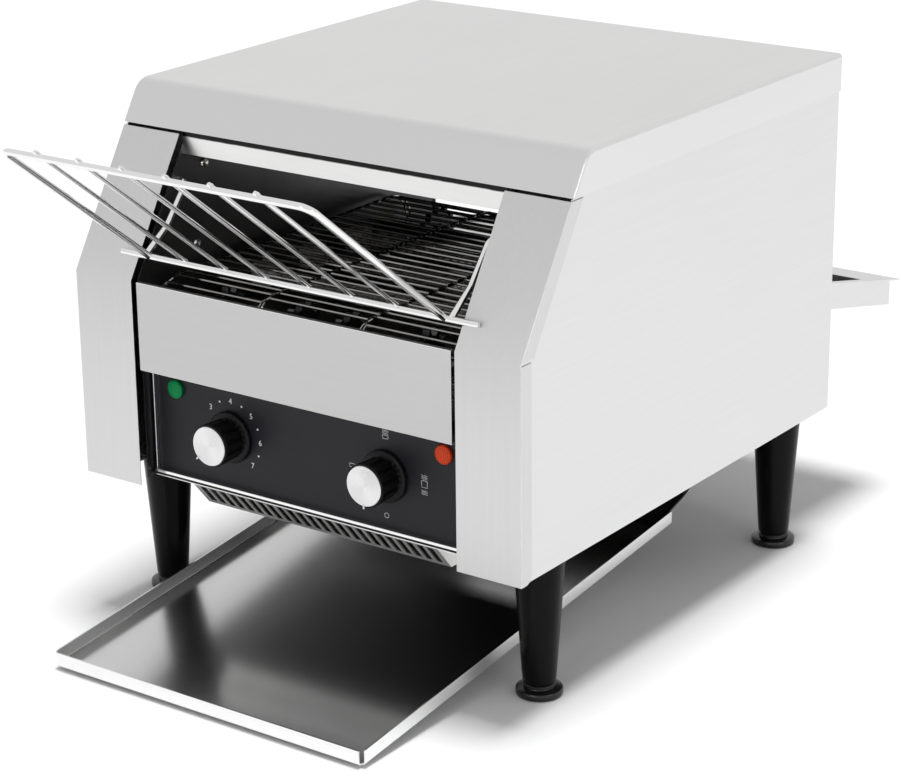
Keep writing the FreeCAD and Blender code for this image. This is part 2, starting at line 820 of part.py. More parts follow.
# The walls of the heating chamber carry the shafts, the heaters and the reflectors
def chamber_wall(side, sign):
    wall = outline([
        ("wall_front", BASE_OVER),
        ("wall_front", "kink_height"),
        (on_slant("wall_top", "wall_front"), "wall_top"),
        ("wall_back", "wall_top"),
        ("wall_back", BASE_OVER),
    ], "sheet", f"{sign} * (wall_reach + sheet / 2)", name=f"{side}_wall")
    through = "sheet + 2 * overrun"
    start = f"{sign} * (wall_reach + sheet / 2) - ({through}) / 2"
    holes = [rod("bush_radius", through, (start, y, SHAFT_LEVEL), "x") for y in SHAFT_DEPTHS]
    holes += [rod("screw_radius + screw_play", through, (start, y, z), "x") for y, z in WALL_SCREWS]
    holes.append(rod("rack_rod + stud_play", through, (start, "pivot_back", "pivot_level"), "x"))
    if sign > 0:
        holes.append(rod("motor_shaft_hole", through, (start, "motor_place_y", "motor_place_z"), "x"))
    piece(f"{side}_chamber_wall", cut(wall, holes))


def header_plate():
    plate = slab("2 * wall_reach", "sheet", "wall_top - header_low", "header_front", "header_low")
    piece("header_plate", plate)


# The shield that closes the space for the motor and the controls off from the heat
def heat_shield():
    top = slab("shield_width", "shield_back - panel_set - panel_flange", "sheet",
               "panel_set + panel_flange", "shield_top")
    back = slab("shield_width", "sheet", f"shield_top + sheet - {BASE_OVER}", "shield_back",
                BASE_OVER)
    start = ("fan_place", "shield_back - overrun", "fan_height")
    hole = rod("fan_bore", "sheet + 2 * overrun", start, "y")
    piece("heat_shield", cut(join([top, back]), [hole]))


# Reflectors over and under the belt's upper run
def reflectors():
    roof = slab("2 * wall_reach", "upper_reflector_back - upper_reflector_front", "sheet",
                "upper_reflector_front", "upper_reflector_level")
    rear = slab("2 * wall_reach", "sheet", "upper_reflector_drop", "upper_reflector_back - sheet",
                "upper_reflector_level + sheet - upper_reflector_drop")
    piece("upper_reflector", join([roof, rear]))
    lower = slab("2 * wall_reach", "lower_reflector_back - lower_reflector_front", "sheet",
                 "lower_reflector_front", "lower_reflector_level")
    piece("lower_reflector", lower)


def heater_rows(row):
    tubes = range(int(number(f"{row}_heater_count")))
    return [f"{row}_heater_first + {index} * heater_pitch" for index in tubes]


# Heater tubes across the chamber, held in ceramic blocks on its walls
def heaters():
    holders = []
    deep = "(heater_radius + overrun)"
    length = "(wall_reach - heater_reach + heater_radius)"
    for row, level in (("upper", "upper_heater_level"), ("lower", SHAFT_LEVEL)):
        tubes = []
        for y in heater_rows(row):
            tubes.append(rod("heater_radius", "2 * heater_reach", ("-heater_reach", y, level), "x"))
            for sign in (-1, 1):
                block = slab(length, "holder_width", "holder_height", f"{y} - holder_width / 2",
                             f"{level} - holder_height / 2", sided(sign, "wall_reach", length))
                start = f"{sign} * (heater_reach + fit_gap) - {(1 + sign) // 2} * {deep}"
                pocket = rod("heater_radius + stud_play", deep, (start, y, level), "x")
                holders.append(cut(block, [pocket]))
        piece(f"{row}_heaters", group(tubes))
    piece("heater_holders", group(holders))


# The wire guard under the upper heaters: two wires between the walls and five across them,
# whose crossings make a sound solid only where their faces aren't merged
def heater_guard():
    wires = []
    for y in ("guard_front", "guard_back"):
        wires.append(rod("guard_wire", "2 * wall_reach", ("-wall_reach", y, "guard_level"), "x"))
    for index in range(int(number("guard_count"))):
        start = (f"({index} - (guard_count - 1) / 2) * guard_pitch", "guard_front - guard_wire / 2",
                 "guard_level + guard_wire")
        wires.append(rod("guard_wire", "guard_back - guard_front + guard_wire", start, "y"))
    guard = join(wires)
    guard.Refine = False
    piece("heater_guard", guard)


def loop_spot(distance):
    """A point on the belt's loop and how far along its turn it is."""
    radius = number(BELT_RADIUS)
    run = number("belt_steps * belt_pitch")
    half_turn = math.pi * radius
    front = number("belt_front")
    level = number(SHAFT_LEVEL)
    distance = distance % (2 * run + 2 * half_turn)
    if distance < run:
        return V(0, front + distance, level + radius)
    distance -= run
    if distance < half_turn:
        angle = distance / radius
        return V(0, front + run + radius * math.sin(angle), level + radius * math.cos(angle))
    distance -= half_turn
    if distance < run:
        return V(0, front + run - distance, level - radius)
    angle = (distance - run) / radius
    return V(0, front - radius * math.sin(angle), level - radius * math.cos(angle))


def loop_ring(grow, width, x):
    """A flat ring that follows the belt's loop, grown or shrunk in its plane."""
    radius = number(BELT_RADIUS) + grow
    front, rear, level = number("belt_front"), number("belt_rear"), number(SHAFT_LEVEL)
    low, high = level - radius, level + radius
    edges = [
        Part.LineSegment(V(x, front, high), V(x, rear, high)).toShape(),
        Part.Arc(V(x, rear, high), V(x, rear + radius, level), V(x, rear, low)).toShape(),
        Part.LineSegment(V(x, rear, low), V(x, front, low)).toShape(),
        Part.Arc(V(x, front, low), V(x, front - radius, level), V(x, front, high)).toShape(),
    ]
    return Part.Face(Part.Wire(edges)).extrude(V(width, 0, 0))


# The belt: straight cross rods, joined along four lines by links
def conveyor_belt():
    wire, width = number("belt_wire"), number("belt_width")
    thick, wide = number("link_thick"), number("link_width")
    bands = []
    for x in (-number("link_outer"), -number("link_inner"), number("link_inner"), number("link_outer")):
        ring = loop_ring(thick / 2, wide, x - wide / 2).cut(loop_ring(-thick / 2, wide, x - wide / 2))
        bands.append(ring)
    rods = []
    count = int(number("2 * belt_steps + belt_teeth"))
    for index in range(count):
        spot = loop_spot(index * number("belt_pitch"))
        rods.append(Part.makeCylinder(wire, width, spot - X * (width / 2), X))
    solid_piece("conveyor_belt", bands[0].fuse(bands[1:] + rods))


def wheel(tip, root, teeth, foot, point, width, start):
    """A toothed disc that turns about X, with its first tooth at the top."""
    blank = Part.makeCylinder(root, width, start, X)
    parts = []
    for index in range(teeth):
        sunk = root - foot / 2
        edge = Part.makePolygon([V(0, -foot / 2, sunk), V(0, foot / 2, sunk), V(0, point / 2, tip),
                                 V(0, -point / 2, tip), V(0, -foot / 2, sunk)])
        tooth = Part.Face(edge).extrude(V(width, 0, 0))
        tooth.rotate(V(), X, math.degrees(2 * math.pi / teeth * index))
        tooth.translate(start)
        parts.append(tooth)
    return blank.fuse(parts)


# Each shaft turns in two bushes and carries four toothed wheels. The teeth end just under
# the belt's rods, so that the wheels turn freely while the belt stands still
def belt_wheels(node, y):
    tip = number(f"{BELT_RADIUS} - belt_wire - touch_gap")
    root = tip - number("tooth_height")
    width = number("sprocket_width")
    bore = number("shaft_radius")
    wheels = []
    for sign in (-1, 1):
        for name in ("sprocket_inner", "sprocket_outer"):
            start = V(sign * number(name) - width / 2, number(y), number(SHAFT_LEVEL))
            disc = wheel(tip, root, int(number("belt_teeth")), number("tooth_foot"),
                         number("tooth_point"), width, start)
            hub = Part.makeCylinder(number("hub_radius"), 2 * width, start - X * (width / 2), X)
            wheels.append(disc.fuse(hub).cut(Part.makeCylinder(bore, 4 * width, start - X * width, X)))
    solid_piece(node, Part.makeCompound(wheels))


def shafts():
    rear = ("-shaft_end", "belt_rear", SHAFT_LEVEL)
    piece("rear_shaft", rod("shaft_radius", "2 * shaft_end", rear, "x"))
    front = ("-shaft_end", "belt_front", SHAFT_LEVEL)
    piece("front_shaft", rod("shaft_radius", "shaft_end + drive_end", front, "x"))
    belt_wheels("front_belt_wheels", "belt_front")
    belt_wheels("rear_belt_wheels", "belt_rear")
    bushes = []
    for sign in (-1, 1):
        for y in SHAFT_DEPTHS:
            length = "sheet + bush_reach"
            start = f"{sign} * (wall_reach + ({length}) / 2) - ({length}) / 2"
            body = rod("bush_radius - fit_gap / 4", length, (start, y, SHAFT_LEVEL), "x")
            lip = f"{sign} * (wall_reach + sheet + bush_flange / 2) - bush_flange / 2"
            flange = rod("bush_flange_radius", "bush_flange", (lip, y, SHAFT_LEVEL), "x")
            bore = rod("shaft_radius + bush_play", "2 * wall_reach + 8 * overrun",
                       ("-wall_reach - 4 * overrun", y, SHAFT_LEVEL), "x")
            bushes.append(cut(join([body, flange]), [bore]))
    piece("shaft_bushes", group(bushes))


# The chain runs round a wheel on the front shaft and a smaller one on the motor
def chain_drive():
    place_x = number("chain_place")
    width = number("chain_width")
    front = V(place_x, number("belt_front"), number(SHAFT_LEVEL))
    motor = V(place_x, number("motor_place_y"), number("motor_place_z"))
    wheel_width = width / 2
    for kind, node, centre, bore in (("drive", "chain_sprocket", front, "shaft_radius"),
                                     ("motor", "motor_sprocket", motor, "motor_shaft_radius")):
        tip = number(f"{kind}_sprocket_radius")
        tooth = number("chain_tooth")
        start = centre - X * (wheel_width / 2)
        teeth = int(number(f"{kind}_sprocket_teeth"))
        disc = wheel(tip, tip - tooth, teeth, tooth, tooth / 2, wheel_width, start)
        hub = Part.makeCylinder(2 * number(bore), width * 2, start - X * width, X)
        hole = Part.makeCylinder(number(bore), width * 4, start - X * 2 * width, X)
        solid_piece(node, disc.fuse(hub).cut(hole))
    rings = []
    for grow in (number("chain_thick + touch_gap"), number("touch_gap")):
        big = number("drive_sprocket_radius") + grow
        small = number("motor_sprocket_radius") + grow
        span = (motor - front).Length
        lean = math.acos((big - small) / span)
        heading = math.atan2(motor.z - front.z, motor.y - front.y)
        spots = []
        for sign in (1, -1):
            angle = heading + sign * lean
            ray = V(0, math.cos(angle), math.sin(angle))
            spots.append((front + ray * big, motor + ray * small))
        away = V(0, math.cos(heading), math.sin(heading))
        edges = [
            Part.LineSegment(spots[0][0], spots[0][1]).toShape(),
            Part.Arc(spots[0][1], motor + away * small, spots[1][1]).toShape(),
            Part.LineSegment(spots[1][1], spots[1][0]).toShape(),
            Part.Arc(spots[1][0], front - away * big, spots[0][0]).toShape(),
        ]
        ring = Part.Face(Part.Wire(edges)).extrude(V(width, 0, 0))
        ring.translate(V(-width / 2, 0, 0))
        rings.append(ring)
    solid_piece("drive_chain", rings[0].cut(rings[1]))


# The gear motor stands on a bracket on the base plate, with its shaft towards the chain
def gear_motor():
    low_y = "motor_place_y - gearbox_side / 2"
    low_z = "motor_place_z - gearbox_side / 2"
    centre = ("motor_place_y", "motor_place_z")
    inner_end = "(gearbox_start + gearbox_length / 2)"
    case = box(("gearbox_length", "gearbox_side", "gearbox_side"), ("gearbox_start", low_y, low_z))
    barrel = rod("motor_radius", "motor_length", ("gearbox_start - motor_length",) + centre, "x")
    bore = rod("motor_shaft_radius + bush_play", "gearbox_length / 2 + overrun",
               (inner_end,) + centre, "x")
    piece("gear_motor", cut(join([case, barrel]), [bore]))
    axle = rod("motor_shaft_radius", f"chain_place + chain_width - {inner_end} - touch_gap",
               (f"{inner_end} + touch_gap",) + centre, "x")
    piece("motor_shaft", axle)
    plate = slab("bracket_sheet", "gearbox_side", f"motor_place_z + gearbox_side / 2 - {BASE_OVER}",
                 low_y, BASE_OVER, "gearbox_start + gearbox_length + bracket_sheet / 2")
    foot = box(("bracket_foot", "gearbox_side", "bracket_sheet"),
               ("gearbox_start + gearbox_length - bracket_foot + bracket_sheet", low_y, BASE_OVER))
    hole = rod("motor_shaft_hole", "bracket_sheet + 2 * overrun",
               ("gearbox_start + gearbox_length - overrun",) + centre, "x")
    piece("motor_bracket", cut(join([plate, foot]), [hole]))


# The slide that turns the toast forward: its low end lies over the tray, its ridge is
# behind the belt and its rear lip slopes down inside the outlet
def toast_slide():
    shift = ("slide_sheet", "(-slide_sheet)")
    joint = ("slide_turn_y + slide_sheet", "slide_turn_z + slide_turn_radius / 2 + overrun")
    low = strip([("slide_end_y", "slide_end_z"), ("slide_turn_y", "slide_turn_z"),
                 ("slide_turn_y + slide_sheet", "slide_turn_z + slide_turn_radius")],
                shift, "slide_low_width", rounds=[(1, "slide_turn_radius")], name="slide_low")
    high = strip([joint, ("slide_ridge_y", "slide_ridge_z")], ("slide_sheet", "0"),
                 "2 * (wall_reach - touch_gap)", name="slide_high")
    lip_end = "(slide_ridge_z - (slide_lip_end - slide_ridge_y) * outlet_slope_share)"
    lip = strip([("slide_ridge_y", "slide_ridge_z"), ("slide_lip_end", lip_end)],
                ("0", "(-slide_sheet)"), "slide_lip_width", name="slide_lip")
    cheeks = []
    for sign in (-1, 1):
        cheeks.append(outline([
            ("slide_ridge_y - cheek_depth", "slide_ridge_z - cheek_depth"),
            ("slide_ridge_y", "slide_ridge_z - slide_sheet"),
            joint,
            ("slide_turn_y - cheek_depth", joint[1]),
        ], "slide_sheet", sided(sign, "(wall_reach - touch_gap)", "slide_sheet"), name="cheek"))
    piece("toast_slide", join([low, high, lip] + cheeks))


def tray_under(y):
    """The height of the tray's underside at some depth."""
    return f"(tray_low + (({y}) - tray_front) * tray_rise / tray_length)"


# The bent bracket under the base plate on which the tray's rear end lies
def tray_bracket():
    path = [
        ("bracket_front", f"{tray_under('bracket_front')} - touch_gap"),
        ("bracket_bend", f"{tray_under('bracket_bend')} - touch_gap"),
        ("bracket_back", "bracket_turn"),
        ("bracket_back", BASE_UNDER),
        ("bracket_end", BASE_UNDER),
    ]
    bent = strip(path, ("bracket_sheet", "(-bracket_sheet)"), "bracket_width",
                 name="tray_bracket_sheet")
    piece("tray_bracket", bent)


# The tray: a sloping floor with low walls on three sides and open corners in front
def collection_tray():
    front_end = ("tray_front", tray_under("tray_front"))
    rear_end = ("tray_rear", tray_under("tray_rear"))
    floor = strip([front_end, rear_end], ("0", "sheet"), "tray_width", name="tray_floor")
    walls = []
    for sign in (-1, 1):
        start = ("tray_front + tray_notch", tray_under("tray_front + tray_notch"))
        walls.append(strip([start, rear_end], ("0", "tray_wall"), "sheet",
                           sided(sign, "tray_width / 2", "sheet"), name="tray_wall"))
    front = slab("tray_width - 2 * tray_notch", "sheet", "tray_wall", *front_end)
    piece("collection_tray", join([floor, front] + walls))


def outlet_rim(y):
    """The height of the rear piece's rim at some depth."""
    return f"(outlet_level - (({y}) - body_depth) * outlet_slope_share)"


# The rear piece: a sloping channel with hemmed walls, an end wall and a bar across it
def rear_outlet():
    rim = [(y, outlet_rim(y)) for y in ("outlet_inner", "outlet_outer")]
    floor = strip([(y, f"{z} - outlet_wall") for y, z in rim], ("0", "sheet"), "outlet_width",
                  name="outlet_floor")
    parts = [floor]
    for sign in (-1, 1):
        parts.append(strip(rim, ("0", "(-outlet_wall)"), "sheet",
                           sided(sign, "outlet_width / 2", "sheet"), name="outlet_wall_sheet"))
        parts.append(strip(rim, ("0", "(-sheet)"), "outlet_hem",
                           sided(sign, "outlet_width / 2", "outlet_hem"), name="outlet_hem_sheet"))
    bar = strip([("outlet_bar_start", outlet_rim("outlet_bar_start")),
                 ("outlet_bar_end", outlet_rim("outlet_bar_end"))], ("0", "(-sheet)"), "outlet_width",
                name="outlet_bar")
    end = slab("outlet_width", "sheet", "outlet_wall", "outlet_outer - sheet",
               f"{outlet_rim('outlet_outer')} - outlet_wall")
    piece("rear_outlet", join(parts + [bar, end]))


# Four tapered legs under the base and four feet that screw into them
def legs_and_feet():
    for row, y in (("front", "leg_front"), ("rear", "body_depth - leg_rear")):
        for side, sign in SIDES.items():
            x = f"{sign} * ({HALF} - leg_inset)"
            shaft = cone("leg_low_radius", "leg_high_radius", "side_base - leg_low", (x, y, "leg_low"))
            hole = rod("stud_radius + stud_play", "stud_length + overrun",
                       (x, y, "leg_low - fit_gap"), "z")
            piece(f"{row}_{side}_leg", cut(shaft, [hole]))
            rim = rod("foot_radius", "foot_rim", (x, y, "0"), "z")
            shoulder = cone("foot_radius", "foot_neck_radius + fit_gap", "foot_shoulder - foot_rim",
                            (x, y, "foot_rim"))
            neck = rod("foot_neck_radius", "leg_low - touch_gap - foot_rim", (x, y, "foot_rim"), "z")
            stud = rod("stud_radius", "stud_length", (x, y, "foot_rim"), "z")
            piece(f"{row}_{side}_foot", join([rim, shoulder, neck, stud]))


def bent_wire(points, corners, radius):
    """A round wire along straight runs joined by tangent arcs."""
    edges = []
    last = points[0]
    for index in range(1, len(points) - 1):
        before = (points[index - 1] - points[index]).normalize()
        after = (points[index + 1] - points[index]).normalize()
        turn = math.pi - before.getAngle(after)
        setback = corners[index - 1] * math.tan(turn / 2)
        start = points[index] + before * setback
        end = points[index] + after * setback
        inward = (before + after).normalize()
        middle = points[index] + inward * (corners[index - 1] / math.cos(turn / 2) - corners[index - 1])
        edges.append(Part.LineSegment(last, start).toShape())
        edges.append(Part.Arc(start, middle, end).toShape())
        last = end
    edges.append(Part.LineSegment(last, points[-1]).toShape())
    path = Part.Wire(edges)
    profile = Part.Wire(Part.makeCircle(radius, points[0], points[1] - points[0]))
    return path.makePipeShell([profile], True, False)


def wire(start, end, radius):
    return Part.makeCylinder(radius, (end - start).Length, start, end - start)


# The rack for the bread: a bar that lies on the columns, a bent top bow, slanted wires,
# and two hooks whose ends turn in the chamber walls, so that the rack can be swung up
def feed_rack():
    bar_radius, thin = number("rack_rod"), number("rack_wire")
    side, corner = number("rack_side"), number("rack_corner")
    hook_side, bend = number("hook_side"), number("hook_corner")
    low = V(0, number(BAR_SET), number("rack_level"))
    top = V(0, number("rack_top_y"), number("rack_top_z"))
    reach = number("rack_bar_reach")
    parts = [wire(low - X * reach, low + X * reach, bar_radius)]
    bow = [low - X * side, top - X * side, top + X * side, low + X * side]
    parts.append(bent_wire(bow, [corner, corner], bar_radius))
    back = V(0, number("hook_back"), number("rack_level + hook_rise"))
    pivot = V(0, number("pivot_back"), number("pivot_level"))
    end = number("wall_reach + sheet + pivot_past")
    for sign in (-1, 1):
        out = X * sign
        hook = [spot + out * hook_side for spot in (low, back, pivot)] + [pivot + out * end]
        parts.append(bent_wire(hook, [bend, bend], bar_radius))
    count = int(number("rack_wire_count"))
    along = (top - low).normalize()
    over = V(0, along.z, -along.y) * ((bar_radius + thin) / 2)
    for index in range(count):
        x = X * ((index - (count - 1) / 2) * number("rack_wire_pitch") + number("rack_wire_set"))
        parts.append(wire(low + x + over, top + x + over + along * number("rack_nub"), thin))
    solid_piece("feed_rack", parts[0].fuse(parts[1:]))


# The knobs: a skirt, a fluted grip and a stem, with a bright cap pressed on the end
def knob(node, sign):
    x = f"{sign} * knob_place"
    face = "(panel_set - touch_gap)"
    skirt = rod("knob_skirt_radius", "knob_skirt", (x, f"{face} - knob_skirt", "knob_height"), "y")
    grip = cone("knob_tip_radius", "knob_grip_radius", "knob_reach - knob_skirt",
                (x, f"{face} - knob_reach", "knob_height"), "y")
    stem = rod("knob_stem_radius", f"stem_end - {face}", (x, face, "knob_height"), "y")
    flutes = []
    for index in range(int(number("knob_flutes"))):
        angle = f"(360 * {index} / knob_flutes)"
        spot = (f"{x} + (knob_grip_radius + knob_flute_radius / 2) * cos({angle})",
                f"{face} - knob_reach - overrun",
                f"knob_height + (knob_grip_radius + knob_flute_radius / 2) * sin({angle})")
        flutes.append(rod("knob_flute_radius", "knob_reach - knob_skirt + overrun", spot, "y"))
    piece(node, join([skirt, cut(grip, flutes), stem]))
    cap = rod("knob_cap_radius", "knob_cap", (x, f"{face} - knob_reach - knob_cap", "knob_height"),
              "y")
    piece(f"{node}_cap", cap)


def lamp(node, sign):
    x = f"{sign} * lamp_place"
    dome = cone("lamp_radius * 2 / 3", "lamp_radius", "lamp_dome",
                (x, "panel_set - lamp_dome", "lamp_height"), "y")
    body = rod("lamp_body_radius", "lamp_body", (x, "panel_set", "lamp_height"), "y")
    piece(node, join([dome, body]))


# The speed control on its board and the rotary switch, each behind its knob
def controls():
    back = "(panel_set + panel_sheet)"
    pot = rod("pot_radius", "pot_depth", ("-knob_place", back, "knob_height"), "y")
    board = slab("board_width", "board_thick", "board_height", f"{back} + pot_depth",
                 "knob_height - board_height / 2", "-knob_place")
    bore = rod("knob_stem_radius + bush_play", "stem_end - panel_set + touch_gap",
               ("-knob_place", "panel_set", "knob_height"), "y")
    piece("speed_control", cut(join([pot, board]), [bore]))
    block = slab("switch_width", "switch_depth", "switch_width", back, "knob_height - switch_width / 2",
                 "knob_place")
    hole = rod("knob_stem_radius + bush_play", "stem_end - panel_set + touch_gap",
               ("knob_place", "panel_set", "knob_height"), "y")
    piece("heat_switch", cut(block, [hole]))


# The cooling fan in front of the shield's opening
def cooling_fan():
    front = "(shield_back - fan_depth)"
    low = "fan_height - fan_side / 2"
    case = slab("fan_side", "fan_depth", "fan_side", front, low, "fan_place")
    bore = rod("fan_bore", "fan_depth + 2 * overrun",
               ("fan_place", f"{front} - overrun", "fan_height"), "y")
    frame = cut(case, [bore])
    length = "(2 * fan_bore + fan_spoke)"
    spokes = [slab(length, "fan_spoke / 2", "fan_spoke", front, "fan_height - fan_spoke / 2",
                   "fan_place"),
              slab("fan_spoke", "fan_spoke / 2", length, front, f"fan_height - {length} / 2",
                   "fan_place")]
    motor = rod("fan_hub", "fan_spoke", ("fan_place", front, "fan_height"), "y")
    hole = rod("fan_pin + bush_play", "fan_spoke + 2 * overrun",
               ("fan_place", f"{front} - overrun", "fan_height"), "y")
    piece("fan_frame", cut(join([frame, motor] + spokes), [hole]))
    start = number(f"{front} + fan_spoke + touch_gap")
    depth = number("fan_depth - fan_spoke - 2 * touch_gap")
    centre = V(number("fan_place"), start, number("fan_height"))
    parts = [Part.makeCylinder(number("fan_pin"), number("fan_spoke + touch_gap"),
                               centre - Y * number("fan_spoke + touch_gap"), Y)]
    blade_depth = depth * math.cos(math.radians(number("fan_blade_pitch_angle")))
    reach = number("fan_blade_reach")
    count = int(number("fan_blades"))
    thick = number("fan_blade_thick")
    for index in range(count):
        blade = Part.makeBox(thick, blade_depth, reach, V(-thick / 2, -blade_depth / 2, 0))
        blade.rotate(V(), Z, number("fan_blade_pitch_angle"))
        blade.rotate(V(), Y, math.degrees(2 * math.pi * index / count))
        blade.translate(centre + Y * (depth / 2))
        parts.append(blade)
    hub = Part.makeCylinder(number("fan_hub"), depth, centre, Y)
    rotor = hub.fuse(parts).common(Part.makeCylinder(reach, 2 * depth, centre - Y * depth, Y))
    solid_piece("fan_rotor", rotor)


def small_parts():
    x, z = "gland_place_x", "gland_place_z"
    nut = rod("gland_radius", "gland_reach", (x, "body_depth - sheet", z), "y")
    neck = rod("gland_bore", "sheet", (x, "body_depth - 2 * sheet", z), "y")
    bore = rod("gland_bore - sheet", "gland_reach + 4 * sheet", (x, "body_depth - 3 * sheet", z), "y")
    piece("cable_gland", cut(join([nut, neck]), [bore]))
    block = slab("terminal_width", "terminal_length", "terminal_height", "terminal_place_y", BASE_OVER,
                 "terminal_place_x")
    piece("terminal_block", block)


def screw(start, along, inward, node_parts):
    """A screw with its head against a face; inward is 1 where the shank points along the axis."""
    x, y, z = start
    head_back = {"x": (f"{x} - {(1 + inward) // 2} * screw_head_height", y, z),
                 "y": (x, f"{y} - {(1 + inward) // 2} * screw_head_height", z)}[along]
    shank = {"x": (f"{x} - {(1 - inward) // 2} * screw_length", y, z),
             "y": (x, f"{y} - {(1 - inward) // 2} * screw_length", z)}[along]
    head = rod("screw_head", "screw_head_height", head_back, along)
    stem = rod("screw_radius", "screw_length", shank, along)
    node_parts.append(join([head, stem]))


def screws():
    inner = []
    for sign in (-1, 1):
        for y, z in WALL_SCREWS:
            screw((f"{sign} * wall_reach", y, z), "x", sign, inner)
    piece("chamber_screws", group(inner))
    rear = []
    for sign in (-1, 1):
        for height in rear_screw_heights():
            screw((f"{sign} * rear_screw_inset", "body_depth", height), "y", -1, rear)
    piece("rear_screws", group(rear))


for side_name, side_sign in SIDES.items():
    front_column(side_name, side_sign)
    side_panel(side_name, side_sign)
    chamber_wall(side_name, side_sign)
top_cover()
upper_front_panel()
control_panel()
panel_trim()
vent_pan()
base_plate()
rear_panel()
header_plate()
heat_shield()
reflectors()
heaters()
heater_guard()
conveyor_belt()
shafts()
chain_drive()
gear_motor()
toast_slide()
tray_bracket()
collection_tray()
rear_outlet()
legs_and_feet()
feed_rack()
knob("speed_knob", -1)
knob("heat_knob", 1)
lamp("green_lamp", -1)
lamp("red_lamp", 1)
controls()
cooling_fan()
small_parts()
screws()

doc.recompute()
faults = []
for item in doc.Objects:
    if "Invalid" in item.State or "Error" in item.State:
        faults.append(f"{item.Name} is {item.State}")
for node, thing in NODES.items():
    if thing.Shape.isNull() or not thing.Shape.isValid():
        faults.append(f"{node} has no valid shape")
if faults:
    raise RuntimeError("; ".join(faults))

os.makedirs("parts", exist_ok=True)
for node, thing in NODES.items():
    thing.Shape.exportStep(f"parts/{node}.step")
    volume = thing.Shape.Volume / 1000
    print(f"{node:24s} solids {len(thing.Shape.Solids):3d}  volume {volume:9.2f} cm3")
print(len(NODES), "nodes")
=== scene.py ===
# %% [markdown]
# A conveyor toaster takes bread from a slanted wire rack, carries it on a wire belt
# between two banks of heaters and lets the toast slide out over a tray. The solids of its
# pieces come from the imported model. This lesson gives them their finish, and builds anew
# the pieces whose looks need more than a plain solid: wires, knobs, lamps, legs and folds.

# %% Load the frame
import math

import bmesh
import bpy
from mathutils import Matrix, Vector


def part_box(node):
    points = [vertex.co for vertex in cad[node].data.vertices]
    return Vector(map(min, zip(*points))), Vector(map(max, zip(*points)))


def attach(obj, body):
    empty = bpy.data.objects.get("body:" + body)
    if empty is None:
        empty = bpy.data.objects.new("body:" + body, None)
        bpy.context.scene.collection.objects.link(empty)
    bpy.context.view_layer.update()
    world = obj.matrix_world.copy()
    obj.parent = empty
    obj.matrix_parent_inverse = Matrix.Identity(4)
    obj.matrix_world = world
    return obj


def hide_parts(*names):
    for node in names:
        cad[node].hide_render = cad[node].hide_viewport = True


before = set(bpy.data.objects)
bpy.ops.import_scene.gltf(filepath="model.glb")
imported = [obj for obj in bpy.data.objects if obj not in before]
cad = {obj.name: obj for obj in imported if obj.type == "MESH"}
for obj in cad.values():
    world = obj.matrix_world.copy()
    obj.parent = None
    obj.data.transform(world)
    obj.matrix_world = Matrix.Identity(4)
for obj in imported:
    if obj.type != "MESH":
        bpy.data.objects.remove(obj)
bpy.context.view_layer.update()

# %% [markdown]
# Sheet metal is drawn in millimetres from the machine's front face, so places on the
# toaster are given that way too: across from the middle, back from the front face and up
# from the table. Helpers turn such a place into a point of the frame, in metres, and read
# the extent and the middle of a solid in the same way. Another puts an object in the scene.

# %% Places on the toaster
MM = 0.001
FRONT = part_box("left_front_column")[0].y
LEFT, RIGHT = -1, 1
sideways, frontwards, upwards = Vector((1, 0, 0)), Vector((0, -1, 0)), Vector((0, 0, 1))


def at(across, back, up):
    """A point from millimetres across, behind the front face and above the table."""
    return Vector((across * MM, FRONT + back * MM, up * MM))


def reach(name):
    """The lowest and highest corner of a solid, in the same millimetres."""
    low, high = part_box(name)
    shift = Vector((0, FRONT, 0))
    return (low - shift) / MM, (high - shift) / MM


def middle_of(name):
    """The middle of a solid, in the same millimetres."""
    return [(a + b) / 2 for a, b in zip(*reach(name))]


def new_object(name, data):
    """An object put into the scene."""
    thing = bpy.data.objects.new(name, data)
    bpy.context.scene.collection.objects.link(thing)
    return thing


print("The front face lies at", round(FRONT, 4), "m")

# %% [markdown]
# The camera stands to the right of the toaster and a little above it, with a long lens, as
# for a catalogue picture. Its place and lens were worked out from the edges of the body
# that run along the three directions, and the lens is slightly rolled.

# %% Camera
camera_place = at(1054.5, -1277.0, 776.1)
camera_heading = Vector((-0.55330, 0.76471, -0.33027)).normalized()
camera_roll = math.radians(-0.6733)
level_right = camera_heading.cross(upwards).normalized()
level_up = level_right.cross(camera_heading)
right = level_right * math.cos(camera_roll) + level_up * math.sin(camera_roll)
up = level_up * math.cos(camera_roll) - level_right * math.sin(camera_roll)
camera = new_object("camera", bpy.data.cameras.new("camera"))
camera.matrix_world = Matrix((right, up, -camera_heading)).transposed().to_4x4()
camera.location = camera_place
camera.data.sensor_width = 36
camera.data.lens = 107.43
bpy.context.scene.camera = camera
bpy.context.scene.view_settings.view_transform = "Standard"
print("Lens", camera.data.lens, "mm, at", [round(c, 3) for c in camera_place])

# %% [markdown]
# Polished steel shows mostly what stands round it. A product studio therefore has a white
# floor, a broad soft light overhead and pale walls, and here the sky is such a wall. Its
# light on dull surfaces is weaker than what mirrors see of it, so that the overhead light
# still draws a shadow under the toaster. That light is very far away and wide, so the floor
# is equally bright everywhere, and it leaves no glare in the steel.

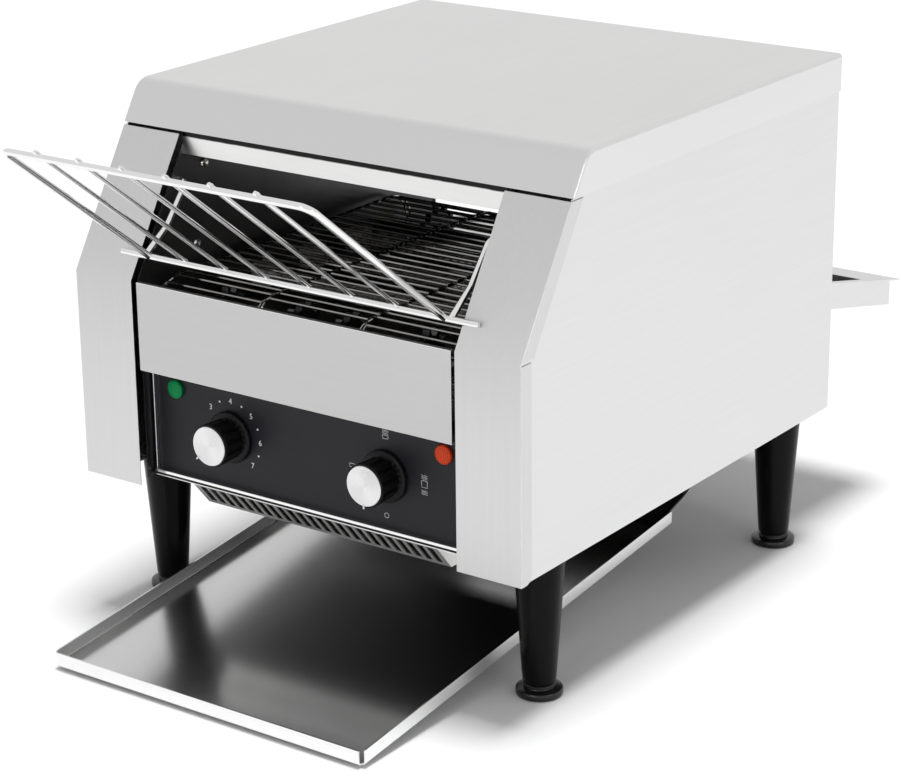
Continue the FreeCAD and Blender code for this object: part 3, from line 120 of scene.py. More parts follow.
# %% Floor and light
floor_paint = bpy.data.materials.new("studio_floor")
floor_paint.use_nodes = True
floor_shader = floor_paint.node_tree.nodes["Principled BSDF"]
floor_shader.inputs["Base Color"].default_value = (0.93, 0.93, 0.93, 1)
floor_shader.inputs["Roughness"].default_value = 0.9
floor_shader.inputs["Specular IOR Level"].default_value = 0.1
floor_mesh = bpy.data.meshes.new("studio_floor")
half_floor = 12
corners = [(-half_floor, -half_floor, 0), (half_floor, -half_floor, 0), (half_floor, half_floor, 0),
           (-half_floor, half_floor, 0)]
floor_mesh.from_pydata(corners, [], [(0, 1, 2, 3)])
floor_mesh.materials.append(floor_paint)
floor = new_object("studio_floor", floor_mesh)

seen_sky, lighting_sky = 0.81, 0.42
sky = bpy.data.worlds.new("studio_walls")
sky.use_nodes = True
sky_nodes = sky.node_tree.nodes
sky_nodes["Background"].inputs["Color"].default_value = (1.0, 1.0, 1.0, 1)
dull_ray = sky_nodes.new("ShaderNodeLightPath").outputs["Is Diffuse Ray"]
dimmed = sky_nodes.new("ShaderNodeMapRange")
dimmed.inputs["To Min"].default_value = seen_sky
dimmed.inputs["To Max"].default_value = lighting_sky
sky.node_tree.links.new(dull_ray, dimmed.inputs["Value"])
sky.node_tree.links.new(dimmed.outputs[0], sky_nodes["Background"].inputs["Strength"])
bpy.context.scene.world = sky

lamp_data = bpy.data.lights.new("overhead_light", "SUN")
lamp_data.energy = 2.35
lamp_data.angle = math.radians(16)
overhead = new_object("overhead_light", lamp_data)
overhead.visible_glossy = False
overhead.rotation_euler = (-0.08, 0.03, 0.0)


def softbox(name, place, aim, size, power):
    """A square lamp at a place, turned towards a point."""
    light = bpy.data.lights.new(name, "AREA")
    light.size = size
    light.energy = power
    thing = new_object(name, light)
    thing.location = place
    thing.rotation_euler = (aim - place).to_track_quat("-Z", "Y").to_euler()


middle = at(0, 200, 200)
softbox("front_light", Vector((0.3, -2.6, 0.9)), middle, 0.5, 5)
softbox("side_light", Vector((2.2, -0.4, 0.8)), middle, 0.5, 2.5)
print("Floor, sky, one wide light overhead and two small ones")

# %% [markdown]
# A finish is made of effects, and most effects turn up on more than one material: the fine
# grain of rolled sheet, smudges, wear and painted highlights on edges, dust, the rings that
# turning leaves. Each is a node group here. A group only puts out masks and heights, and
# each material decides what they do to its colour, roughness or relief.

# %% Helpers for shader nodes
def add(tree, kind, inputs=None, **settings):
    """A shader node with its settings, whose inputs are linked to sockets or set to values."""
    made = tree.nodes.new(f"ShaderNode{kind}")
    for name, value in settings.items():
        setattr(made, name, value)
    for name, value in (inputs or {}).items():
        socket = made.inputs[name]
        if isinstance(value, bpy.types.NodeSocket):
            tree.links.new(value, socket)
        else:
            socket.default_value = value
    return made


def maths(tree, operation, *values, **settings):
    """The result of a Math node."""
    return add(tree, "Math", dict(enumerate(values)), operation=operation, **settings).outputs[0]


def own_place(tree):
    """Where the shaded point lies in its piece, in metres."""
    return add(tree, "TexCoord").outputs["Object"]


def normal_parts(tree):
    """The parts of the true normal along X, Y and Z."""
    return add(tree, "SeparateXYZ", {0: add(tree, "NewGeometry").outputs["Normal"]}).outputs


def effect_group(name, inputs, outputs):
    """An empty shader group with named inputs, which are numbers or vectors, and outputs."""
    tree = bpy.data.node_groups.new(name, "ShaderNodeTree")
    for label, value in inputs.items():
        kind = "NodeSocketVector" if isinstance(value, tuple) else "NodeSocketFloat"
        socket = tree.interface.new_socket(label, in_out="INPUT", socket_type=kind)
        socket.default_value = value
    for label in outputs:
        tree.interface.new_socket(label, in_out="OUTPUT", socket_type="NodeSocketFloat")
    return tree, tree.nodes.new("NodeGroupInput").outputs, tree.nodes.new("NodeGroupOutput").inputs


def between(tree, value, low, high, out_low=0.0, out_high=1.0):
    """A value brought from one range to another."""
    inputs = {"Value": value, "From Min": low, "From Max": high, "To Min": out_low, "To Max": out_high}
    return add(tree, "MapRange", inputs).outputs[0]


# %% [markdown]
# Rolled and brushed sheet has very long, very thin streaks. Noise that is squeezed in one
# direction gives them, and a second, wide noise makes the sheen drift slowly, as on a
# panel that isn't perfectly flat.

# %% Effects: sheet grain and smudges
grain_tree, given, made = effect_group("sheet_grain", {"Stretch": (1.0, 1.0, 1.0), "Scale": 400.0},
                                       ["Streaks", "Drift"])
spot = own_place(grain_tree)
squeezed = add(grain_tree, "VectorMath", {0: spot, 1: given["Stretch"]}, operation="MULTIPLY")
streaks = add(grain_tree, "TexNoise", {"Vector": squeezed.outputs[0], "Scale": given["Scale"],
                                       "Detail": 4.0, "Roughness": 0.65})
drift = add(grain_tree, "TexNoise", {"Vector": spot, "Scale": 7.0, "Detail": 1.0})
grain_tree.links.new(streaks.outputs[0], made["Streaks"])
grain_tree.links.new(drift.outputs[0], made["Drift"])

smudge_tree, given, made = effect_group("smudges", {"Scale": 30.0, "Coverage": 0.45}, ["Mask"])
spot = own_place(smudge_tree)
patches = add(smudge_tree, "TexNoise", {"Vector": spot, "Scale": given["Scale"], "Detail": 5.0,
                                        "Distortion": 0.8})
least = maths(smudge_tree, "SUBTRACT", 1.0, given["Coverage"])
full = maths(smudge_tree, "ADD", least, 0.25)
smudge_tree.links.new(between(smudge_tree, patches.outputs[0], least, full), made["Mask"])
print("Groups:", grain_tree.name, smudge_tree.name)

# %% [markdown]
# Edges lose their coating first, and on bare steel the same mask lightens them as a painted
# highlight. A Bevel node bends the normal near an edge, so where its normal leaves the true
# one, there is an edge. Noise then breaks the line up. Dust does the opposite: it settles on
# what faces up. Another group tells upright faces, undersides, folds and faces to the front
# apart, so that each can be tinted with painted light or shade.

# %% Effects: edges, facing, dust and hairline scratches
# The edge mask is real wear on coats, and a painted highlight on bare steel.
edge_tree, given, made = effect_group("worn_and_lit_edges", {"Amount": 1.0, "Width": 0.0008}, ["Mask"])
bent = add(edge_tree, "Bevel", {"Radius": given["Width"]}, samples=6).outputs[0]
true_normal = add(edge_tree, "NewGeometry").outputs["Normal"]
agreement = add(edge_tree, "VectorMath", {0: bent, 1: true_normal}, operation="DOT_PRODUCT")
edge_mask = between(edge_tree, agreement.outputs["Value"], 0.995, 0.90)
patchy = add(edge_tree, "TexNoise", {"Vector": own_place(edge_tree),
                                     "Scale": 160.0, "Detail": 3.0}).outputs[0]
edge_mask = maths(edge_tree, "MULTIPLY", edge_mask, between(edge_tree, patchy, 0.3, 0.6))
edge_tree.links.new(maths(edge_tree, "MULTIPLY", edge_mask, given["Amount"]), made["Mask"])

facing_tree, given, made = effect_group("facing", {}, ["Upright", "Underside", "Fold", "Forward"])
facing = normal_parts(facing_tree)
level = maths(facing_tree, "ABSOLUTE", facing["Z"])
facing_tree.links.new(between(facing_tree, level, 0.5, 0.2), made["Upright"])
facing_tree.links.new(between(facing_tree, facing["Z"], -0.88, -0.97), made["Underside"])
leaning = between(facing_tree, level, 0.2, 0.4)
not_flat = between(facing_tree, level, 0.97, 0.9)
facing_tree.links.new(maths(facing_tree, "MULTIPLY", leaning, not_flat), made["Fold"])
facing_tree.links.new(between(facing_tree, facing["Y"], -0.1, -0.5), made["Forward"])

dust_tree, given, made = effect_group("dust", {"Amount": 0.3}, ["Mask"])
upward = between(dust_tree, normal_parts(dust_tree)["Z"], 0.2, 1.0)
specks = add(dust_tree, "TexNoise", {"Vector": own_place(dust_tree),
                                     "Scale": 900.0, "Detail": 6.0}).outputs[0]
lying = maths(dust_tree, "MULTIPLY", upward, between(dust_tree, specks, 0.5, 0.75))
dust_tree.links.new(maths(dust_tree, "MULTIPLY", lying, given["Amount"]), made["Mask"])

scratch_tree, given, made = effect_group("hairlines", {"Scale": 60.0, "Amount": 0.5}, ["Mask"])
spot = own_place(scratch_tree)
lines = []
for turn in (0.4, 1.3, 2.5):
    turned = add(scratch_tree, "VectorRotate", {"Vector": spot, "Angle": turn,
                                                "Axis": (0.3, 0.4, 0.86)})
    drawn = add(scratch_tree, "VectorMath", {0: turned.outputs[0], 1: (1.0, 40.0, 40.0)},
                operation="MULTIPLY")
    noise = add(scratch_tree, "TexNoise", {"Vector": drawn.outputs[0], "Scale": given["Scale"]})
    lines.append(between(scratch_tree, noise.outputs[0], 0.70, 0.74))
crossed = maths(scratch_tree, "MAXIMUM", maths(scratch_tree, "MAXIMUM", lines[0], lines[1]), lines[2])
scratch_tree.links.new(maths(scratch_tree, "MULTIPLY", crossed, given["Amount"]), made["Mask"])
print("Groups:", edge_tree.name, facing_tree.name, dust_tree.name, scratch_tree.name)

# %% [markdown]
# Turned faces carry rings round their centre, and a spun cap gets a painted reflection in
# rays, as its fine rings would reflect a lamp as a narrow wedge. Moulded plastic is finely
# pebbled, painted shade darkens a band above a given height, under an overhanging lip,
# and steel that has been hot turns straw-coloured, then brown and blue.

# %% Effects: turned rings, pebbled plastic, painted shade under a lip and heat colours
ring_tree, given, made = effect_group("turned_rings", {"Centre": (0.0, 0.0, 0.0), "Rings": 900.0},
                                      ["Rings", "Rays"])
spot = own_place(ring_tree)
from_centre = add(ring_tree, "VectorMath", {0: spot, 1: given["Centre"]}, operation="SUBTRACT")
sides = add(ring_tree, "SeparateXYZ", {0: from_centre.outputs[0]}).outputs
flat = add(ring_tree, "CombineXYZ", {"X": sides["X"], "Z": sides["Z"]}).outputs[0]
distance = add(ring_tree, "VectorMath", {0: flat}, operation="LENGTH").outputs["Value"]
wave = maths(ring_tree, "MULTIPLY", distance, given["Rings"])
uneven = add(ring_tree, "TexNoise", {"W": wave, "Scale": 1.0, "Detail": 2.0}, noise_dimensions="1D")
# Painted reflection: wedges in rays round the centre.
angle = maths(ring_tree, "ARCTAN2", sides["X"], sides["Z"])
rays = maths(ring_tree, "SINE", maths(ring_tree, "MULTIPLY", angle, 2.0))
ring_tree.links.new(uneven.outputs[0], made["Rings"])
ring_tree.links.new(between(ring_tree, rays, -1.0, 1.0), made["Rays"])

pebble_tree, given, made = effect_group("pebbled_plastic", {"Scale": 1400.0}, ["Height"])
pebbles = add(pebble_tree, "TexVoronoi", {"Vector": own_place(pebble_tree),
                                          "Scale": given["Scale"]}, feature="SMOOTH_F1")
pebble_tree.links.new(pebbles.outputs["Distance"], made["Height"])

# Painted shade: a dark band above a given height, where a lip overhangs.
lip_shade_tree, given, made = effect_group("lip_shade", {"Height": 0.3, "Depth": 0.003}, ["Mask"])
place = own_place(lip_shade_tree)
rise = add(lip_shade_tree, "SeparateXYZ", {0: place}).outputs["Z"]
ragged = add(lip_shade_tree, "TexNoise", {"Vector": place, "Scale": 120.0, "Detail": 2.0}).outputs[0]
rise = maths(lip_shade_tree, "ADD", rise, maths(lip_shade_tree, "MULTIPLY", ragged, 0.0006))
above = maths(lip_shade_tree, "SUBTRACT", rise, given["Height"])
thick = maths(lip_shade_tree, "DIVIDE", above, given["Depth"], use_clamp=True)
lip_shade_tree.links.new(thick, made["Mask"])

heat_tree, given, made = effect_group("heat_colours", {"Scale": 14.0, "Amount": 0.6}, ["Mask"])
patches = add(heat_tree, "TexNoise", {"Vector": own_place(heat_tree),
                                      "Scale": given["Scale"], "Detail": 3.0}).outputs[0]
warm = maths(heat_tree, "MULTIPLY", between(heat_tree, patches, 0.35, 0.7), given["Amount"])
heat_tree.links.new(warm, made["Mask"])
print("Groups:", ring_tree.name, pebble_tree.name, lip_shade_tree.name, heat_tree.name)

# %% [markdown]
# Every material starts from one Principled shader with its plain values. Small helpers
# then lay effects over it: a tint changes the colour where a mask is strong, a sheen
# moves the roughness between two values, and a relief goes through a Bump node. Two more
# helpers join an effect with what most materials do with it.

# %% Helpers for materials
def finish(name, colour, roughness, metallic=0.0, **values):
    """A material whose plain values stand on the shader's own sockets."""
    paint = bpy.data.materials.new(name)
    paint.use_nodes = True
    shader = paint.node_tree.nodes["Principled BSDF"]
    shader.inputs["Base Color"].default_value = (*colour, 1)
    shader.inputs["Roughness"].default_value = roughness
    shader.inputs["Metallic"].default_value = metallic
    for label, value in values.items():
        shader.inputs[label.replace("_", " ")].default_value = value
    paint.diffuse_color = (*colour, 1)
    return paint


def effect(paint, tree, **values):
    """An effect's group placed in a material with its own values. Returns its outputs."""
    placed = paint.node_tree.nodes.new("ShaderNodeGroup")
    placed.node_tree = tree
    for label, value in values.items():
        placed.inputs[label].default_value = value
    return placed.outputs


def shade(colour, share):
    """A colour with each of its parts multiplied by a share."""
    return tuple(part * share for part in colour)


def tint(paint, mask, colour):
    """Mixes a colour over the base colour where the mask is strong."""
    tree = paint.node_tree
    base = tree.nodes["Principled BSDF"].inputs["Base Color"]
    mix = add(tree, "Mix", data_type="RGBA")
    factor, under, over = mix.inputs[0], mix.inputs[6], mix.inputs[7]
    if base.is_linked:
        tree.links.new(base.links[0].from_socket, under)
    else:
        under.default_value = base.default_value
    over.default_value = (*colour, 1)
    tree.links.new(mask, factor)
    tree.links.new(mix.outputs[2], base)


def sheen(paint, mask, low, high):
    """Moves the roughness between two values with a mask."""
    tree = paint.node_tree
    socket = tree.nodes["Principled BSDF"].inputs["Roughness"]
    tree.links.new(between(tree, mask, 0.0, 1.0, low, high), socket)


def relief(paint, height, depth, strength=0.5):
    """Lays a height over the surface, on top of any relief that is there."""
    tree = paint.node_tree
    socket = tree.nodes["Principled BSDF"].inputs["Normal"]
    bump = add(tree, "Bump", {"Height": height, "Distance": depth * MM, "Strength": strength})
    if socket.is_linked:
        tree.links.new(socket.links[0].from_socket, bump.inputs["Normal"])
    tree.links.new(bump.outputs[0], socket)


def marked(paint, tree, colour, **values):
    """Tints a material where an effect's mask is strong."""
    tint(paint, effect(paint, tree, **values)["Mask"], colour)


def smudged(paint, scale, low, high):
    """Lets smudges move the roughness between two values."""
    sheen(paint, effect(paint, smudge_tree, Scale=scale)["Mask"], low, high)


# %% [markdown]
# The body is stainless sheet with a fine satin grain. It runs along the length of each
# piece, so the grain is squeezed across that direction, and one function makes the
# variants. Steel is a metal through and through: it has no dull colour of its own, only
# brighter and darker reflections. The variants are one steel in lighter and darker copies,
# as painted light and shade: the cover and sides lighter, the faces to the front darker.

# %% Steel sheets
def sheet_steel(name, colour, roughness, stretch, wear_and_highlight=0.25):
    """Satin sheet with its grain stretched one way, hairlines and a painted highlight on its edges."""
    paint = finish(name, colour, roughness, metallic=1.0)
    grain = effect(paint, grain_tree, Stretch=stretch, Scale=420.0)
    tint(paint, grain["Streaks"], shade(colour, 0.93))
    sheen(paint, grain["Drift"], roughness * 0.85, roughness * 1.2)
    relief(paint, grain["Streaks"], 0.012, 0.35)
    marked(paint, scratch_tree, shade(colour, 0.8), Scale=40.0, Amount=0.25)
    # Painted highlight: the edges of the sheet are tinted near white.
    marked(paint, edge_tree, (0.95, 0.95, 0.95), Amount=wear_and_highlight)
    return paint


ALONG_X, ALONG_Y, ALONG_Z = (0.02, 1.0, 1.0), (1.0, 0.02, 1.0), (1.0, 1.0, 0.02)
# Painted light and shade: each copy of the steel has its own base colour, set by how the light falls on
# it.
cover_steel = sheet_steel("cover_steel", (0.85, 0.85, 0.845), 0.34, ALONG_Y, 0.6)
# Painted shade: the cover's upright sides and its front are tinted darker than its top.
cover_shade_masks = effect(cover_steel, facing_tree)
tint(cover_steel, cover_shade_masks["Upright"], (0.73, 0.73, 0.73))
tint(cover_steel, cover_shade_masks["Forward"], (0.71, 0.71, 0.71))
side_steel = sheet_steel("side_steel", (0.74, 0.74, 0.74), 0.36, ALONG_Y)
column_steel = sheet_steel("column_steel", (0.67, 0.67, 0.67), 0.38, ALONG_Z, 0.5)
face_steel = sheet_steel("face_steel", (0.55, 0.55, 0.55), 0.36, ALONG_X, 0.7)
# Painted highlight: the fold of the panel over the controls is tinted near white.
tint(face_steel, effect(face_steel, facing_tree)["Fold"], (0.98, 0.98, 0.98))
inner_steel = sheet_steel("inner_steel", (0.62, 0.62, 0.61), 0.34, ALONG_X)
header_steel = sheet_steel("header_steel", (0.80, 0.80, 0.795), 0.30, ALONG_X)
# Painted shade: a dark band along the header's top, under the cover's lip.
lip_shade_height = reach("top_cover")[0].z * MM - 0.0045
marked(header_steel, lip_shade_tree, (0.02, 0.02, 0.02), Height=lip_shade_height, Depth=0.0008)

tray_steel = sheet_steel("tray_steel", (0.72, 0.72, 0.72), 0.19, ALONG_Y, 0.5)
# Painted light: the tray's upright walls are tinted lighter, and its bends lighter still as a painted
# highlight.
turned_up = effect(tray_steel, facing_tree)
tint(tray_steel, turned_up["Upright"], (0.93, 0.93, 0.93))
tint(tray_steel, turned_up["Fold"], (0.97, 0.97, 0.97))
sheen(tray_steel, turned_up["Upright"], 0.19, 0.42)

pan_steel = sheet_steel("pan_steel", (0.80, 0.80, 0.79), 0.36, ALONG_X, 0.4)
# Painted shade: the faces of the pan that look down are tinted almost black.
tint(pan_steel, effect(pan_steel, facing_tree)["Underside"], (0.05, 0.05, 0.05))
print("Steel sheets:", cover_steel.name, side_steel.name, column_steel.name, face_steel.name)

# %% [markdown]
# Inside, the sheets are dark as painted shade, with uneven heat colours. The slide for the
# toast and the legs are painted black: a thin, even coat over steel, slightly glossy, that
# wears through on its edges. The panel for the controls has a slate-grey satin coat.

# %% Dark coats
def painted(name, colour, roughness, coat, under=(0.5, 0.5, 0.5), wear_and_highlight=0.3, shine=0.5):
    """A pebbled coat with a little dust, worn on its edges to what lies under it."""
    paint = finish(name, colour, roughness, Coat_Weight=coat, Coat_Roughness=0.2, Specular_IOR_Level=shine)
    relief(paint, effect(paint, pebble_tree, Scale=900.0)["Height"], 0.03, 0.25)
    smudged(paint, 18.0, roughness, roughness + 0.1)
    marked(paint, dust_tree, (0.35, 0.34, 0.33), Amount=0.12)
    marked(paint, edge_tree, under, Amount=wear_and_highlight)
    return paint


slide_black = painted("slide_black", (0.012, 0.012, 0.012), 0.16, 0.0, wear_and_highlight=0.15, shine=0.9)
leg_black = painted("leg_black", (0.002, 0.002, 0.002), 0.24, 0.0, (0.03, 0.03, 0.03), 0.15, 0.11)
panel_grey = painted("panel_grey", (0.014, 0.014, 0.018), 0.45, 0.0, (0.1, 0.1, 0.1), 0.1, 0.25)
motor_grey = painted("motor_grey", (0.10, 0.11, 0.12), 0.45, 0.2)


def sooty_sheet(name, colour, roughness):
    """Inner sheet, dark as painted shade, with uneven heat colours."""
    paint = finish(name, colour, roughness, metallic=0.85)
    marked(paint, heat_tree, shade(colour, 0.35), Scale=9.0, Amount=0.8)
    smudged(paint, 25.0, roughness, roughness + 0.15)
    grain = effect(paint, grain_tree, Stretch=ALONG_Y, Scale=300.0)
    relief(paint, grain["Streaks"], 0.02, 0.4)
    return paint


# Painted shade: the chamber walls and reflectors are dark like the shade inside the chamber.
chamber_black = sooty_sheet("chamber_black", (0.11, 0.11, 0.11), 0.32)
reflector_steel = sooty_sheet("reflector_steel", (0.14, 0.135, 0.13), 0.34)
print("Coats:", slide_black.name, leg_black.name, panel_grey.name, chamber_black.name)

# %% [markdown]
# The rack is bright wire, smooth as a mirror. The belt's wire was bright too, until the
# first hours of heat dulled it and gave it straw and brown colours in places.

# %% Wire, plain parts and screws
def bright_metal(name, colour, roughness, dull=(0.3, 0.3, 0.3)):
    """Smooth metal with smudges, and hairlines in a duller colour."""
    paint = finish(name, colour, roughness, metallic=1.0)
    smudged(paint, 60.0, roughness, roughness + 0.12)
    marked(paint, scratch_tree, dull, Scale=120.0, Amount=0.3)
    return paint


rack_chrome = bright_metal("rack_chrome", (0.86, 0.86, 0.86), 0.12)
trim_chrome = bright_metal("trim_chrome", (0.88, 0.88, 0.88), 0.18)
plain_steel = bright_metal("plain_steel", (0.50, 0.50, 0.50), 0.32)
# Painted shade: the shafts and belt wheels inside are near black, like the shade round them.
dark_steel = bright_metal("dark_steel", (0.10, 0.10, 0.10), 0.38, (0.2, 0.2, 0.2))
zinc = bright_metal("zinc", (0.66, 0.65, 0.62), 0.26)
bronze = bright_metal("bronze", (0.16, 0.11, 0.065), 0.42, (0.08, 0.05, 0.03))

belt_metal = finish("belt_metal", (0.34, 0.335, 0.33), 0.13, metallic=1.0)
marked(belt_metal, heat_tree, (0.16, 0.135, 0.11), Scale=40.0, Amount=0.4)
smudged(belt_metal, 90.0, 0.10, 0.22)
print("Metals:", rack_chrome.name, plain_steel.name, belt_metal.name)

# %% [markdown]
# Knobs, feet and housings inside are moulded, and finely pebbled. The bright caps on
# the knobs are spun, with rings that break up the light and a painted reflection in rays.
# The lamps are ribbed lenses in a clear colour, and both glow a little. Their prisms are
# tinted lighter as painted glints, and the rim of each dome darker as painted shade.

# %% Plastic, lenses, glass and ceramic
def moulded(name, colour, roughness, scale=1500.0, shine=0.5):
    """Moulded plastic or ceramic with fine pebbles and paler edges."""
    paint = finish(name, colour, roughness, Specular_IOR_Level=shine)
    relief(paint, effect(paint, pebble_tree, Scale=scale)["Height"], 0.02, 0.3)
    smudged(paint, 50.0, roughness, roughness + 0.12)
    marked(paint, dust_tree, (0.2, 0.2, 0.2), Amount=0.05)
    marked(paint, edge_tree, tuple(c * 2 + 0.02 for c in colour), Amount=0.25)
    return paint


knob_black = moulded("knob_black", (0.005, 0.005, 0.005), 0.36, shine=0.18)
foot_black = moulded("foot_black", (0.005, 0.005, 0.005), 0.26)
inner_plastic = moulded("inner_plastic", (0.03, 0.03, 0.032), 0.5)
pale_ceramic = moulded("pale_ceramic", (0.78, 0.75, 0.68), 0.6, 700.0)
board_green = moulded("board_green", (0.02, 0.13, 0.06), 0.35)


def spun(name, centre):
    """Bright metal turned round a centre in the plane of the front."""
    paint = finish(name, (0.76, 0.76, 0.76), 0.24, metallic=1.0)
    rings = effect(paint, ring_tree, Centre=tuple(centre), Rings=2600.0)
    sheen(paint, rings["Rings"], 0.20, 0.38)
    relief(paint, rings["Rings"], 0.01, 0.5)
    # Painted reflection: the cap is tinted darker in wedges round its centre.
    tint(paint, rings["Rays"], (0.68, 0.68, 0.68))
    return paint


def lens(name, colour, glow):
    """A ribbed lens: clear coloured plastic over fine prisms, with painted glints and a painted shade on
    its rim.
    """
    paint = finish(name, colour, 0.3, Specular_IOR_Level=0.12, Emission_Strength=glow)
    tree = paint.node_tree
    spot = own_place(tree)
    ribs = []
    for direction in ("X", "Z"):
        wave = add(tree, "TexWave", {"Vector": spot, "Scale": 230.0}, bands_direction=direction)
        ribs.append(wave.outputs[1])
    prisms = maths(tree, "MULTIPLY", *ribs)
    # Painted glints: the prisms are tinted lighter.
    tint(paint, prisms, tuple(min(1.0, c * 2.4 + 0.01) for c in colour))
    # Painted shade: the rim of the dome is tinted darker.
    rim = between(tree, normal_parts(tree)["Y"], -0.8, -0.3)
    tint(paint, rim, shade(colour, 0.35))
    sockets = tree.nodes["Principled BSDF"].inputs
    tree.links.new(sockets["Base Color"].links[0].from_socket, sockets["Emission Color"])
    relief(paint, prisms, 0.25, 0.8)
    return paint


green_lens = lens("green_lens", (0.0, 0.13, 0.035), 0.28)
red_lens = lens("red_lens", (0.34, 0.03, 0.008), 0.35)

quartz = finish("quartz", (0.93, 0.91, 0.88), 0.22, Transmission_Weight=0.75, IOR=1.46)
smudged(quartz, 80.0, 0.16, 0.34)
print_white = finish("print_white", (0.80, 0.80, 0.80), 0.5)
marked(print_white, smudge_tree, (0.62, 0.62, 0.62), Scale=300.0, Coverage=0.35)
print(len(bpy.data.materials), "materials")

# %% [markdown]
# The solids have flat faces that meet in knife edges, which real sheet never does. They
# stay as they are, and modifiers finish them: Weld joins the corners that the export split,
# Decimate merges faces that lie in one plane, Bevel rounds the edges a little and Weighted
# Normal keeps the flat faces flat. A small geometry node group marks the edges that bend
# by more than a given angle as sharp, and Bevel rounds the same ones.

# %% Rounding the edges of the solids
sharp_angle = math.radians(32)
touching = 0.01 * MM
edge_finder = bpy.data.node_groups.new("sharp_edges", "GeometryNodeTree")
edge_finder.interface.new_socket("Geometry", in_out="INPUT", socket_type="NodeSocketGeometry")
edge_finder.interface.new_socket("Geometry", in_out="OUTPUT", socket_type="NodeSocketGeometry")
start = edge_finder.nodes.new("NodeGroupInput")
end = edge_finder.nodes.new("NodeGroupOutput")
smooth = edge_finder.nodes.new("GeometryNodeSetShadeSmooth")
crease = edge_finder.nodes.new("GeometryNodeSetShadeSmooth")
crease.domain = "EDGE"
crease.inputs["Shade Smooth"].default_value = False
bend = edge_finder.nodes.new("GeometryNodeInputMeshEdgeAngle")
steep = edge_finder.nodes.new("FunctionNodeCompare")
steep.inputs[1].default_value = sharp_angle
edge_finder.links.new(bend.outputs["Unsigned Angle"], steep.inputs[0])
edge_finder.links.new(start.outputs[0], smooth.inputs["Geometry"])
edge_finder.links.new(smooth.outputs[0], crease.inputs["Geometry"])
edge_finder.links.new(steep.outputs[0], crease.inputs["Selection"])
edge_finder.links.new(crease.outputs[0], end.inputs[0])


def dress(names, paint, radius=0.3):
    """Gives solids a finish and edges rounded by a radius in millimetres."""
    for name in names:
        solid = cad[name]
        solid.data.materials.clear()
        solid.data.materials.append(paint)
        weld = solid.modifiers.new("join corners", "WELD")
        weld.merge_threshold = touching
        planes = solid.modifiers.new("merge flat faces", "DECIMATE")
        planes.decimate_type = "DISSOLVE"
        planes.angle_limit = math.radians(0.6)
        if radius:
            edges = solid.modifiers.new("round edges", "BEVEL")
            edges.width = radius * MM
            edges.segments = 2
            edges.limit_method = "ANGLE"
            edges.angle_limit = sharp_angle
            edges.use_clamp_overlap = True
        sharp = solid.modifiers.new("sharp edges", "NODES")
        sharp.node_group = edge_finder
        level = solid.modifiers.new("flat stays flat", "WEIGHTED_NORMAL")
        level.keep_sharp = True
    print(paint.name, "on", ", ".join(names))


# %% [markdown]
# The shells: cover, sides, columns and the panel over the controls are bent from 1 mm
# stainless sheet, so their folds get a radius of about half the sheet, and the fold of the
# panel over the controls a wider one.

# %% Shells and inner sheets
dress(["top_cover"], cover_steel, 0.4)
dress(["left_side_panel", "right_side_panel"], side_steel, 0.3)
dress(["left_front_column", "right_front_column"], column_steel, 0.35)
dress(["upper_front_panel"], face_steel, 0.8)
dress(["rear_panel", "rear_outlet"], side_steel, 0.3)
dress(["base_plate", "vent_pan"], pan_steel, 0.3)
dress(["header_plate"], header_steel, 0.0)
dress(["heat_shield", "motor_bracket"], inner_steel, 0.3)
dress(["control_panel"], panel_grey, 0.3)
dress(["toast_slide", "tray_bracket"], slide_black, 0.3)
dress(["left_chamber_wall", "right_chamber_wall"], chamber_black, 0.3)
dress(["upper_reflector", "lower_reflector"], reflector_steel, 0.3)

# %% [markdown]
# What turns the belt: shafts, toothed wheels, bushes, the gear motor and its sprockets.
# These are turned or pressed parts, so their edges are only broken, not round.

# %% Drive, fan and electrical parts
dress(["chain_sprocket", "motor_sprocket", "motor_shaft"], plain_steel, 0.25)
dress(["front_shaft", "rear_shaft", "front_belt_wheels", "rear_belt_wheels"], dark_steel, 0.25)
dress(["shaft_bushes"], bronze, 0.3)
dress(["gear_motor"], motor_grey, 0.8)
dress(["fan_frame", "fan_rotor", "heat_switch", "terminal_block", "cable_gland"], inner_plastic, 0.5)
dress(["speed_control"], board_green, 0.3)
dress(["heater_holders"], pale_ceramic, 0.6)

# %% [markdown]
# Pieces that are built anew are meshes made in code. Two helpers do most of the work. A
# sweep carries a ring of points along a wire's path, and a lathe turns a profile round a
# centre line. A third helper gives the finished mesh its material and fixes it to the body
# that it moves with.

# %% Helpers for meshes
def finished(name, mesh, paint, body="housing", stands_for=(), crease_angle=35):
    """Makes a piece of a bmesh, with smooth faces that break at steep edges."""
    bmesh.ops.recalc_face_normals(mesh, faces=mesh.faces)
    for face in mesh.faces:
        face.smooth = True
    data = bpy.data.meshes.new(name)
    mesh.to_mesh(data)
    mesh.free()
    data.set_sharp_from_angle(angle=math.radians(crease_angle))
    data.materials.append(paint)
    thing = new_object(name, data)
    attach(thing, body)
    if stands_for:
        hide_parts(*stands_for)
    print(f"{name}: {len(data.polygons)} faces on {body}")


def rounded(points, radius, steps=6):
    """A bent wire's path: its corners become arcs of a radius in millimetres."""
    path = [points[0]]
    for before, corner, after in zip(points, points[1:], points[2:]):
        back, ahead = (before - corner).normalized(), (after - corner).normalized()
        turn = math.pi - back.angle(ahead)
        setback = radius * MM * math.tan(turn / 2)
        middle = corner + (back + ahead).normalized() * (radius * MM / math.cos(turn / 2))
        arm = corner + back * setback - middle
        axis = arm.cross(corner + ahead * setback - middle).normalized()
        for step in range(steps + 1):
            path.append(middle + Matrix.Rotation(turn * step / steps, 3, axis) @ arm)
    path.append(points[-1])
    return path


